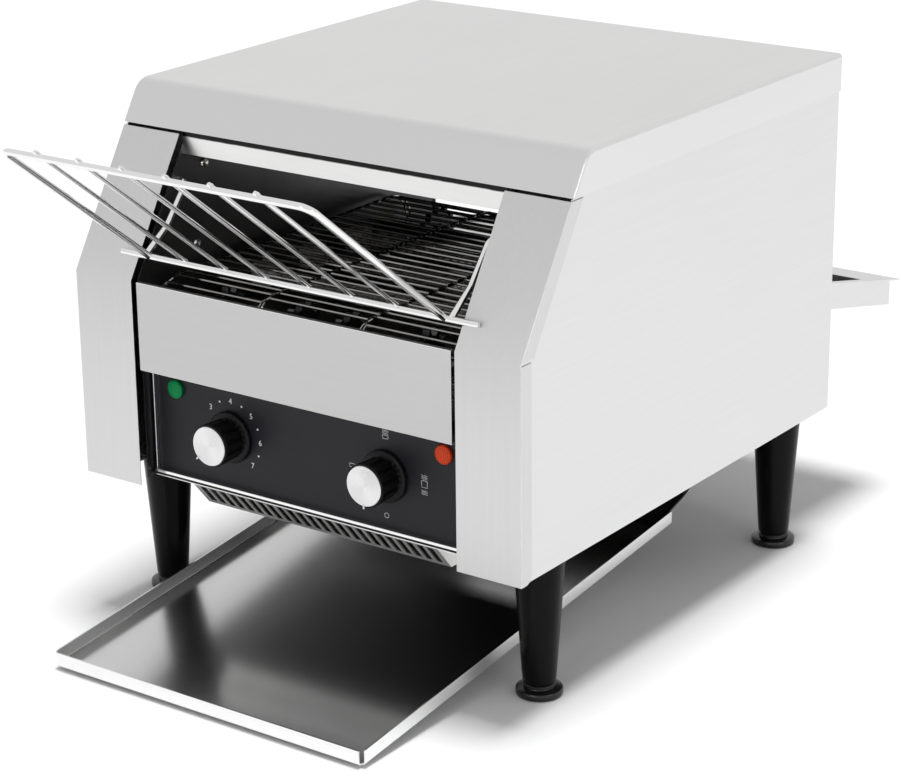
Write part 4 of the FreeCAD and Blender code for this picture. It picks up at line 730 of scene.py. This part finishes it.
def sweep(mesh, path, radius, sides=10, blunt=0.35, closed=False):
    """Adds a round wire along a path. Its ends are slightly rounded over."""
    radius = radius * MM
    stops = [(point, 1.0) for point in path]
    if not closed:
        for end, inward in ((0, 1), (-1, -2)):
            lead = (path[inward] - path[end]).normalized() * (blunt * radius)
            stops[end] = (path[end] + lead, 1.0)
        stops = [(path[0], 1.0 - blunt)] + stops + [(path[-1], 1.0 - blunt)]
    count = len(stops)
    normal = None
    rings = []
    for index, (point, share) in enumerate(stops):
        before = stops[index - 1][0] if closed or index else point
        after = stops[(index + 1) % count][0] if closed or index < count - 1 else point
        heading = (after - before).normalized()
        if normal is None:
            normal = heading.orthogonal()
        normal = (normal - heading * normal.dot(heading)).normalized()
        other = heading.cross(normal)
        ring = []
        for side in range(sides):
            angle = 2 * math.pi * side / sides
            arm = normal * math.cos(angle) + other * math.sin(angle)
            ring.append(mesh.verts.new(point + arm * (radius * share)))
        rings.append(ring)
    pairs = list(zip(rings, rings[1:]))
    if closed:
        pairs.append((rings[-1], rings[0]))
    for low, high in pairs:
        for side in range(sides):
            following = (side + 1) % sides
            mesh.faces.new((low[side], low[following], high[following], high[side]))
    if not closed:
        mesh.faces.new(rings[0][::-1])
        mesh.faces.new(rings[-1])


def lathe(mesh, profile, centre, axis, steps=48, shape=None):
    """Turns a profile, pairs of radius and height in millimetres, round an axis."""
    axis = axis.normalized()
    across = axis.orthogonal().normalized()
    other = axis.cross(across)
    rings = []
    for radius, height in profile:
        foot = centre + axis * (height * MM)
        if radius == 0:
            rings.append([mesh.verts.new(foot)])
            continue
        ring = []
        for step in range(steps):
            angle = 2 * math.pi * step / steps
            grown = shape(radius, height, angle) if shape else radius
            arm = across * math.cos(angle) + other * math.sin(angle)
            ring.append(mesh.verts.new(foot + arm * (grown * MM)))
        rings.append(ring)
    for low, high in zip(rings, rings[1:]):
        for step in range(steps):
            following = (step + 1) % steps
            if len(low) == 1:
                mesh.faces.new((low[0], high[following], high[step]))
            elif len(high) == 1:
                mesh.faces.new((low[step], low[following], high[0]))
            else:
                mesh.faces.new((low[step], low[following], high[following], high[step]))


print("Helpers: finished, rounded, sweep, lathe")

# %% [markdown]
# The rack is a tray of wire: a straight bar that lies on the columns, a bow bent from one
# thicker wire, six thinner wires welded across and two hooks whose ends turn in the walls.
# Each wire is swept along its own path, and small beads stand at the welds.

# %% Feed rack
bar_end = reach("feed_rack")[1].x
bar_radius, wire_radius = 2.25, 1.6
bow_side, bow_corner = 122.0, 8.0
bar_back, bar_height = 7.674, 265.4
bow_front, bow_height = -124.0, 366.8
wire_pitch, wire_count, wire_set = 35.0, 6, -4.0
wire_before, wire_past = 1.2, 4.0
weld_bead = [(0, -1.3), (1.7, -0.9), (2.3, 0), (1.7, 0.9), (0, 1.3)]
pivot_back, pivot_height, pivot_end = 52.0, 308.0, 138.0
hook_side, hook_back, hook_height = 126.0, 30.0, 281.0

rack = bmesh.new()
sweep(rack, [at(-bar_end, bar_back, bar_height), at(bar_end, bar_back, bar_height)], bar_radius, 14)
bow = [at(-bow_side, bar_back, bar_height), at(-bow_side, bow_front, bow_height),
       at(bow_side, bow_front, bow_height), at(bow_side, bar_back, bar_height)]
sweep(rack, rounded(bow, bow_corner, 10), bar_radius, 14)
slope = at(0, bow_front, bow_height) - at(0, bar_back, bar_height)
along = slope.normalized()
over = Vector((0, along.z, -along.y)) * ((bar_radius + wire_radius) / 2 * MM)
for index in range(wire_count):
    across = (index - (wire_count - 1) / 2) * wire_pitch + wire_set
    low_end = at(across, bar_back, bar_height) + over - along * (wire_before * MM)
    high_end = at(across, bow_front, bow_height) + over + along * (wire_past * MM)
    sweep(rack, [low_end, high_end], wire_radius, 12, 0.6)
    for spot in (at(across, bar_back, bar_height), at(across, bow_front, bow_height)):
        lathe(rack, weld_bead, spot + over * 0.9, sideways, 12)
for side in (LEFT, RIGHT):
    hook = [at(side * hook_side, bar_back, bar_height), at(side * hook_side, hook_back, hook_height),
            at(side * hook_side, pivot_back, pivot_height), at(side * pivot_end, pivot_back, pivot_height)]
    sweep(rack, rounded(hook, 6), bar_radius, 14)
finished("wire_rack", rack, rack_chrome, "rack", ["feed_rack"])

# %% [markdown]
# The belt is woven from single wires. Each goes across the belt with a short step where it
# hooks round its neighbour, so the rods look like rows of offset dashes. A point on the
# belt is given by its distance along the loop, and the loop is two straight runs and two
# half turns, so one function finds the place and the wires follow it.

# %% The belt's loop
belt_low, belt_high = reach("conveyor_belt")
belt_start, shaft_height = middle_of("front_shaft")[1:]
belt_run = middle_of("rear_shaft")[1] - belt_start
belt_wire = 1.2
loop_radius = (belt_high.z - belt_low.z) / 2 - belt_wire
belt_pitch = 11.0
half_turn = math.pi * loop_radius
loop_length = 2 * (belt_run + half_turn)
rod_count = round(loop_length / belt_pitch)


def on_belt(across, distance, out=0.0):
    """A point of the belt, from millimetres across and along the loop, and above it."""
    distance %= loop_length
    radius = loop_radius + out
    if distance < belt_run:
        return at(across, belt_start + distance, shaft_height + radius)
    distance -= belt_run
    if distance < half_turn:
        angle = distance / loop_radius
        return at(across, belt_start + belt_run + radius * math.sin(angle),
                  shaft_height + radius * math.cos(angle))
    distance -= half_turn
    if distance < belt_run:
        return at(across, belt_start + belt_run - distance, shaft_height - radius)
    angle = (distance - belt_run) / loop_radius
    return at(across, belt_start - radius * math.sin(angle), shaft_height - radius * math.cos(angle))


print(rod_count, "rods on a loop of", round(loop_length), "mm")

# %% [markdown]
# One rod: it starts in an eye at the belt's edge, runs straight, steps half a pitch
# sideways at the inner joints and back again, and ends in a second eye. The eyes are
# separate small loops here, bent round the next rod.

# %% Conveyor belt
belt_edge, joint_line, step_width = 127.0, 41.0, 3.0
eye_width, eye_wire, eye_lift, eye_steps = 3.4, 0.8, 0.5, 10


def belt_rod(mesh, distance):
    """One wire across the belt, at a distance along the loop."""
    half = belt_pitch / 2
    stops = [(-belt_edge, 0), (-joint_line - step_width, 0), (-joint_line, half),
             (joint_line, half), (joint_line + step_width, 0), (belt_edge, 0)]
    path = [on_belt(across, distance + shift) for across, shift in stops]
    sweep(mesh, path, belt_wire, 8)


def belt_eye(mesh, across, distance):
    """A flat loop of wire that ties a rod to the next one."""
    path = []
    for step in range(eye_steps):
        angle = 2 * math.pi * step / eye_steps
        path.append(on_belt(across + eye_width / 2 * math.sin(angle),
                            distance + belt_pitch / 2 * math.cos(angle), eye_lift * math.sin(angle)))
    sweep(mesh, path, eye_wire, 6, closed=True)


belt = bmesh.new()
for index in range(rod_count):
    spot = index * loop_length / rod_count
    belt_rod(belt, spot)
    for across in (-belt_edge, belt_edge):
        belt_eye(belt, across, spot + belt_pitch / 2)
    for across in (-joint_line - step_width / 2, joint_line + step_width / 2):
        belt_eye(belt, across, spot + belt_pitch * 0.75)
finished("wire_belt", belt, belt_metal, "housing", ["conveyor_belt"])

# %% [markdown]
# Each heater is a frosted quartz tube with a coil of resistance wire inside and a white
# ceramic cap at each end. The coil is a helix, swept as one wire.

# %% Heater tubes
tube_radius, tube_wall, tube_inset = 5.0, 1.2, 8
coil_radius, coil_wire, coil_inset, coil_turns, coil_steps = 2.2, 0.35, 12, 34, 10
ceramic_cap = [(0, 0), (3.4, 0), (4.9, 0.8), (5.0, 10), (4.4, 10.8), (2.0, 11)]


def heater(back, height, low, high):
    """A tube with its coil and caps, between two places across, added to the three meshes."""
    tube_end = high - low - tube_inset
    bore = tube_radius - tube_wall
    tube = [(bore, tube_inset), (tube_radius, tube_inset), (tube_radius, tube_end), (bore, tube_end)]
    lathe(tubes, tube, at(low, back, height), sideways, 20)
    coil_length = high - low - 2 * coil_inset
    path = []
    for step in range(coil_turns * coil_steps + 1):
        angle = 2 * math.pi * step / coil_steps
        across = low + coil_inset + coil_length * step / (coil_turns * coil_steps)
        path.append(at(across, back + coil_radius * math.cos(angle),
                       height + coil_radius * math.sin(angle)))
    sweep(coils, path, coil_wire, 5)
    for end, direction in ((low, 1), (high, -1)):
        lathe(caps, ceramic_cap, at(end, back, height), sideways * direction, 20)


tubes, coils, caps = bmesh.new(), bmesh.new(), bmesh.new()
for row, count in (("upper_heaters", 4), ("lower_heaters", 3)):
    low, high = reach(row)
    height = (low.z + high.z) / 2
    for index in range(count):
        back = low.y + tube_radius + (high.y - low.y - 2 * tube_radius) * index / (count - 1)
        heater(back, height, low.x, high.x)
finished("quartz_tubes", tubes, quartz, "housing", ["upper_heaters", "lower_heaters"])
finished("heater_coils", coils, belt_metal, "housing")
finished("heater_caps", caps, pale_ceramic, "housing")

# %% [markdown]
# A guard of thin wires hangs under the upper tubes, so that no bread touches them. Its cross
# wires go into the walls, and its front one lies far enough back to stay behind the header.

# %% Guard under the upper tubes
guard_low, guard_high = reach("heater_guard")
guard_wire, guard_count, guard_pitch, guard_set = 1.2, 5, 48.0, 16.0
guard = bmesh.new()
for back in (guard_low.y + guard_set, guard_high.y - guard_wire):
    sweep(guard, [at(across, back, guard_low.z + guard_wire) for across in (guard_low.x, guard_high.x)],
          guard_wire, 8)
for index in range(guard_count):
    across = (index - (guard_count - 1) / 2) * guard_pitch
    sweep(guard, [at(across, back, guard_high.z - guard_wire)
                  for back in (guard_low.y + guard_set - guard_wire, guard_high.y)], guard_wire, 8)
finished("guard_wires", guard, belt_metal, "housing", ["heater_guard"])

# %% [markdown]
# A knob has a round skirt that covers the hole in the panel, and a grip with twelve
# scallops for the fingers. The lathe takes a function of the angle for the scallops, which
# run from the skirt to just under the end. A spun cap sits in the end of the grip, inside a thin black
# rim, and a small white tick on the rim points at the scale or the drawings.

# %% Knobs and caps
panel_face = reach("control_panel")[0].y
flute_count, flute_depth = 12, 2.0
grip_start, grip_end = 4.6, 21.4
tick_level, tick_start, tick_end = 24.4, 12.2, 15.4


def scalloped(radius, height, angle):
    """The grip's radius where a finger hollow goes in."""
    if height < grip_start or height > grip_end:
        return radius
    hollow = max(0.0, math.cos(flute_count * angle)) ** 0.8
    return radius - flute_depth * hollow


def knob(name, tick_angle):
    """A knob with its cap and tick, which points at an angle on the panel."""
    across, _, height = middle_of(name)
    centre = at(across, panel_face, height)
    mesh = bmesh.new()
    profile = [(0, 0.3), (17.4, 0.3), (18, 0.9), (18, 3.4), (17.2, 4.1), (14.4, 4.3), (14.2, 4.6),
               (14.2, 5.0), (14.4, 10), (14.7, 16), (15.0, 20.6), (14.8, 21.4), (15.0, 21.9),
               (15.0, 23.3), (14.6, 23.9), (14.2, 24.0), (14.1, 23.2), (0, 23.2)]
    lathe(mesh, profile, centre, frontwards, 96, scalloped)
    finished(f"{name}_body", mesh, knob_black, body_of_knob[name], [name], 50)
    cap = bmesh.new()
    cap_profile = [(13.8, 22.6), (13.8, 23.9), (13.4, 24.3), (12.7, 24.35), (12.3, 24.2), (0, 24.2)]
    lathe(cap, cap_profile, centre, frontwards, 72)
    finished(f"{name}_disc", cap, spun(f"{name}_spun", centre), body_of_knob[name], [f"{name}_cap"])
    tick = bmesh.new()
    pointing = Matrix.Rotation(math.radians(tick_angle), 3, "Y") @ upwards
    face = centre + frontwards * (tick_level * MM)
    sweep(tick, [face + pointing * (tick_start * MM), face + pointing * (tick_end * MM)], 0.6, 8)
    finished(f"{name}_tick", tick, print_white, body_of_knob[name])


body_of_knob = {"speed_knob": "speed_dial", "heat_knob": "heat_dial"}
knob("speed_knob", 225)
knob("heat_knob", 180)

# %% [markdown]
# The lamps are small domes of coloured plastic with prisms on the inside. The rim of the
# dome rests on the panel, and a thin body behind it goes through.

# %% Lamps
dome, dome_shift, dome_sink = 6.8, 1.1, 1.7


def lamp(name, paint):
    """A lamp's dome and the body behind it, a little outwards from and below its solid."""
    low, high = reach(name)
    middle = (low + high) / 2
    outwards = math.copysign(dome_shift, middle.x)
    centre = at(middle.x + outwards, panel_face, middle.z - dome_sink)
    mesh = bmesh.new()
    profile = [(0, -22), (2.6, -22), (3.0, -21.4), (3.0, 0.1), (dome, 0.1), (dome, 1.4)]
    for step in range(1, 7):
        angle = math.pi / 2 * step / 6
        profile.append((dome * math.cos(angle) if step < 6 else 0, 1.4 + 2.6 * math.sin(angle)))
    lathe(mesh, profile, centre, frontwards, 40)
    finished(f"{name}_lens", mesh, paint, "housing", [name])


lamp("green_lamp", green_lens)
lamp("red_lamp", red_lens)

# %% [markdown]
# A bright strip frames the panel. Along the bottom it is a channel: a rounded bead on top, a
# groove, and a thin lip below. Thin strips go up the ends. The groove's floor is a separate
# dark piece behind the bead and the lip: painted shade that keeps the groove black.

# %% Trim round the panel
trim_low, trim_high = reach("panel_trim")
bar_lift, bead_height, groove_height, lip_height = 1.1, 1.9, 1.6, 0.6
groove_back, groove_inset, end_strip, end_strip_front = 1.6, 0.3, 0.9, 3.0
bar_low = trim_low.z + bar_lift
bar_top = bar_low + lip_height + groove_height + bead_height
trim = bmesh.new()


def box_between(mesh, low, high):
    """A block between two corners, given across, back and up."""
    corners = [mesh.verts.new(at(x, y, z)) for x in (low[0], high[0]) for y in (low[1], high[1])
               for z in (low[2], high[2])]
    for ring in ((0, 1, 3, 2), (4, 6, 7, 5), (0, 4, 5, 1), (2, 3, 7, 6), (0, 2, 6, 4), (1, 5, 7, 3)):
        mesh.faces.new([corners[index] for index in ring])


box_between(trim, (trim_low.x, trim_low.y, bar_top - bead_height), (trim_high.x, panel_face, bar_top))
box_between(trim, (trim_low.x, trim_low.y, bar_low), (trim_high.x, panel_face, bar_low + lip_height))
for x in (trim_low.x, trim_high.x - end_strip):
    box_between(trim, (x, panel_face - end_strip_front, bar_top), (x + end_strip, panel_face, trim_high.z))
bmesh.ops.bevel(trim, geom=list(trim.edges), offset=0.25 * MM, segments=2, affect="EDGES")
finished("trim_channel", trim, trim_chrome, "housing", ["panel_trim"])
# Painted shade: a dark piece keeps the groove black.
groove = bmesh.new()
box_between(groove, (trim_low.x + groove_inset, trim_low.y + groove_back, bar_low + lip_height / 2),
            (trim_high.x - groove_inset, panel_face, bar_top - bead_height / 2))
finished("trim_groove", groove, panel_grey)

# %% [markdown]
# The tray is one sheet whose edges were folded up in a small bend. At the left front corner
# the walls run on into each other, and at the right one a narrow gap is left open. The
# section of the bent edge is carried round, and the sloping floor is filled in between.

# %% Tray
tray_low, tray_high = reach("collection_tray")
tray_sheet, tray_wall, tray_bend, tray_turn, tray_gap, floor_lap = 1.0, 10.5, 1.2, 4.0, 3.0, 3.6
tray_slope = (tray_high.z - tray_low.z - tray_wall) / (tray_high.y - tray_low.y)
outer_bend = tray_bend + tray_sheet
quarter = [math.pi / 2 * step / 5 for step in range(6)]
under = [(outer_bend * (1 - math.sin(turn)), outer_bend * (1 - math.cos(turn))) for turn in quarter]
over = [(outer_bend - tray_bend * math.sin(turn), outer_bend - tray_bend * math.cos(turn))
        for turn in reversed(quarter)]
wall_top = [(0, tray_wall), (tray_sheet, tray_wall)]
section = [(floor_lap, 0)] + under + wall_top + over + [(floor_lap, tray_sheet)]


def folded_edge(mesh, path):
    """Carries the section along a path, and returns its lines along the floor."""
    rows = []
    for across, back, inward_across, inward_back in path:
        row = []
        for inset, rise in section:
            y = back + inward_back * inset
            floor = tray_low.z + (y - tray_low.y) * tray_slope
            row.append(mesh.verts.new(at(across + inward_across * inset, y, floor + rise)))
        rows.append(row)
    for row, after in zip(rows, rows[1:]):
        for index in range(len(section) - 1):
            mesh.faces.new((row[index], row[index + 1], after[index + 1], after[index]))
    mesh.faces.new(rows[0])
    mesh.faces.new(rows[-1])
    return [row[0] for row in rows], [row[-1] for row in rows]


folded = [(tray_low.x, tray_high.y, 1, 0)]
for step in range(9):
    turn = math.pi / 2 * step / 8
    across = tray_low.x + tray_turn * (1 - math.cos(turn))
    back = tray_low.y + tray_turn * (1 - math.sin(turn))
    folded.append((across, back, math.cos(turn), math.sin(turn)))
folded.append((tray_high.x - tray_gap, tray_low.y, 0, 1))
sheet = bmesh.new()
lower_left, upper_left = folded_edge(sheet, folded)
lower_right, upper_right = folded_edge(sheet, [(tray_high.x, tray_low.y + tray_gap, -1, 0),
                                               (tray_high.x, tray_high.y, -1, 0)])
sheet.faces.new(upper_left + upper_right)
sheet.faces.new(lower_left + lower_right)
for first, second in ((-1, 0), (0, -1)):
    sheet.faces.new((lower_left[first], lower_right[second], upper_right[second], upper_left[first]))
finished("folded_tray", sheet, tray_steel, "tray", ["collection_tray"])

# %% [markdown]
# The scale round the speed knob has numbers from 1 to 7, with dots between them from 3 on.
# The heat knob has small drawings instead: a slice of bread with heat above it, above and
# below it or only below, and a ring for off. They are printed and hardly stand proud.

# %% Scale and drawings on the panel
scale_radius, dot_radius, figure_height = 25.0, 0.75, 4.2
print_lift = 0.06


def panel_spot(knob_name, angle, radius):
    """A place on the panel round a knob, by a radius and an angle from the right upwards."""
    across, _, height = middle_of(knob_name)
    turn = math.radians(angle)
    return across + radius * math.cos(turn), height + radius * math.sin(turn)


def printed_figure(text, across, height):
    """A figure of the scale, as a flat letter form on the panel."""
    curve = bpy.data.curves.new(f"figure_{text}", "FONT")
    curve.body = text
    curve.size = figure_height * 1.35 * MM
    curve.align_x = "CENTER"
    curve.align_y = "CENTER"
    curve.extrude = print_lift / 2 * MM
    curve.materials.append(print_white)
    thing = new_object(f"figure_{text}", curve)
    thing.location = at(across, panel_face - print_lift / 2, height)
    thing.rotation_euler = (math.pi / 2, 0, 0)
    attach(thing, "housing")


def line_on_panel(mesh, points, width=0.45, closed=False):
    """A printed line through places given across and up."""
    path = [at(across, panel_face + width * 0.3, height) for across, height in points]
    sweep(mesh, path, width / 2, 6, closed=closed)


first_angle, angle_step = 225, 45
wave_width, wave_pitch, wave_swing = 4.8, 1.1, 0.4
ring_radius, ring_steps = 1.7, 16
marks = bmesh.new()
for number in range(1, 8):
    angle = first_angle - angle_step * (number - 1)
    printed_figure(str(number), *panel_spot("speed_knob", angle, scale_radius))
for number in range(3, 7):
    angle = first_angle - angle_step * (number - 0.5)
    across, height = panel_spot("speed_knob", angle, scale_radius)
    lathe(marks, [(dot_radius, -0.2), (dot_radius, print_lift), (0, print_lift)],
          at(across, panel_face, height), frontwards, 16)
finished("scale_dots", marks, print_white)


def heat_waves(mesh, across, height):
    """Three short wavy strokes, one above the other, from a height upwards."""
    for row in range(3):
        points = []
        for step in range(9):
            share = step / 8
            swing = wave_swing * math.sin(share * 4 * math.pi)
            points.append((across + wave_width * (share - 0.5), height + wave_pitch * row + swing))
        line_on_panel(mesh, points, 0.4)


def bread_slice(mesh, across, height, half):
    """The outline of a slice of bread, or of its upper half."""
    top = [(across - 2.2, height + 1.0), (across - 2.6, height + 1.8), (across - 1.6, height + 2.5),
           (across + 1.6, height + 2.5), (across + 2.6, height + 1.8), (across + 2.2, height + 1.0)]
    foot = height if half else height - 2.2
    line_on_panel(mesh, [(across - 2.2, foot)] + top + [(across + 2.2, foot)], 0.5, closed=True)


drawings = bmesh.new()
across, height = panel_spot("heat_knob", 90, 25.5)
heat_waves(drawings, across, height + 3.6)
bread_slice(drawings, across, height, True)
across, height = panel_spot("heat_knob", 0, 31)
heat_waves(drawings, across, height + 4.2)
bread_slice(drawings, across, height + 0.4, False)
heat_waves(drawings, across, height - 6.4)
across, height = panel_spot("heat_knob", 180, 27.5)
bread_slice(drawings, across, height, True)
heat_waves(drawings, across, height - 4.4)
across, height = panel_spot("heat_knob", 270, 28)
ring = []
for step in range(ring_steps):
    angle = 2 * math.pi * step / ring_steps
    ring.append((across + ring_radius * math.cos(angle), height + ring_radius * math.sin(angle)))
line_on_panel(drawings, ring, 0.5, closed=True)
finished("heat_drawings", drawings, print_white)

# %% [markdown]
# The legs are tapered tubes, painted black, that are screwed under the base. Each ends in
# a foot that turns on a thread: a round pad with a ring that sets the height.

# %% Legs and feet
narrow, ring_size, thread = 11.2, 11.0, 5.0
for corner in ("front_left", "front_right", "rear_left", "rear_right"):
    low, high = reach(f"{corner}_leg")
    bottom, top = low.z, high.z
    wide = (high.x - low.x) / 2
    across, back, _ = middle_of(f"{corner}_leg")
    centre = at(across, back, 0)
    leg = bmesh.new()
    leg_profile = [(0, bottom), (narrow - 1.0, bottom), (narrow - 0.2, bottom + 0.6),
                   (narrow, bottom + 1.4), (narrow + 0.5, bottom + 8), (wide - 0.6, top - 8),
                   (wide, top - 1.2), (wide - 0.4, top), (0, top)]
    lathe(leg, leg_profile, centre, upwards, 56)
    finished(f"{corner}_leg_tube", leg, leg_black, "housing", [f"{corner}_leg"])
    foot_low, foot_high = reach(f"{corner}_foot")
    pad = (foot_high.x - foot_low.x) / 2
    foot = bmesh.new()
    foot_profile = [(0, 0), (pad - 1.6, 0), (pad - 0.4, 0.5), (pad, 1.6), (pad, 4.2), (pad - 0.5, 5.0),
                    (pad - 2.4, 5.6), (ring_size - 0.6, 5.9), (ring_size - 0.8, 6.4), (ring_size, 6.9),
                    (ring_size, bottom - 0.6), (ring_size - 0.6, bottom - 0.1),
                    (thread, bottom - 0.05), (thread, bottom + 8), (0, bottom + 8)]
    lathe(foot, foot_profile, centre, upwards, 56)
    finished(f"{corner}_foot_pad", foot, foot_black, f"{corner}_foot_body", [f"{corner}_foot"])

# %% [markdown]
# The screws that can be seen in the mouth hold the heater brackets to the walls, and those
# at the back hold the rear panel. They have a pan head with a cross recess, which is four
# wedges let into the dome of the head.

# %% Screws
head_height, head_sunk = 2.4, 0.4


def pan_screw(mesh, tip, outwards, radius):
    """A domed head whose top lies at a point, with a cross let into the dome."""
    outline = [(0.96, -head_sunk / head_height), (1, 0), (0.98, 0.35), (0.85, 0.7), (0.6, 0.92),
               (0.35, 1), (0, 0.45)]
    profile = [(radius * wide, head_height * level) for wide, level in outline]

    def crossed(turned, level, angle):
        """Pulls the rings at the top of the dome in and out four times round."""
        if level < head_height * 0.9:
            return turned
        return turned * (0.75 + 0.45 * abs(math.cos(2 * angle)) ** 3)

    lathe(mesh, profile, tip - outwards * (head_height * MM), outwards, 24, crossed)


def islands(name):
    """The separate solids in one piece, each as its lowest and highest corner."""
    mesh = bmesh.new()
    mesh.from_mesh(cad[name].data)
    bmesh.ops.remove_doubles(mesh, verts=mesh.verts, dist=touching)
    left, found = set(mesh.verts), []
    while left:
        stack, group = [left.pop()], []
        while stack:
            vertex = stack.pop()
            group.append(vertex.co.copy())
            for edge in vertex.link_edges:
                near = edge.other_vert(vertex)
                if near in left:
                    left.remove(near)
                    stack.append(near)
        low = Vector(min(point[axis] for point in group) for axis in range(3))
        high = Vector(max(point[axis] for point in group) for axis in range(3))
        found.append((low, high))
    mesh.free()
    return found


wall_screws = bmesh.new()
for low, high in islands("chamber_screws"):
    centre = (low + high) / 2
    inwards = Vector((1 if centre.x < 0 else -1, 0, 0))
    tip = Vector((low.x if centre.x > 0 else high.x, centre.y, centre.z))
    pan_screw(wall_screws, tip, inwards, (high.z - low.z) / 2 / MM)
finished("wall_screws", wall_screws, zinc, "housing", ["chamber_screws"])
back_screws = bmesh.new()
for low, high in islands("rear_screws"):
    centre = (low + high) / 2
    tip = Vector((centre.x, high.y, centre.z))
    pan_screw(back_screws, tip, -frontwards, (high.z - low.z) / 2 / MM)
finished("back_screws", back_screws, zinc, "housing", ["rear_screws"])

# %% [markdown]
# The drive chain runs round its two sprockets inside the housing, where no one sees it from
# outside. Its solid keeps its shape and only gets a finish, an oily grey steel.

# %% Drive chain
dress(["drive_chain"], plain_steel, 0.0)
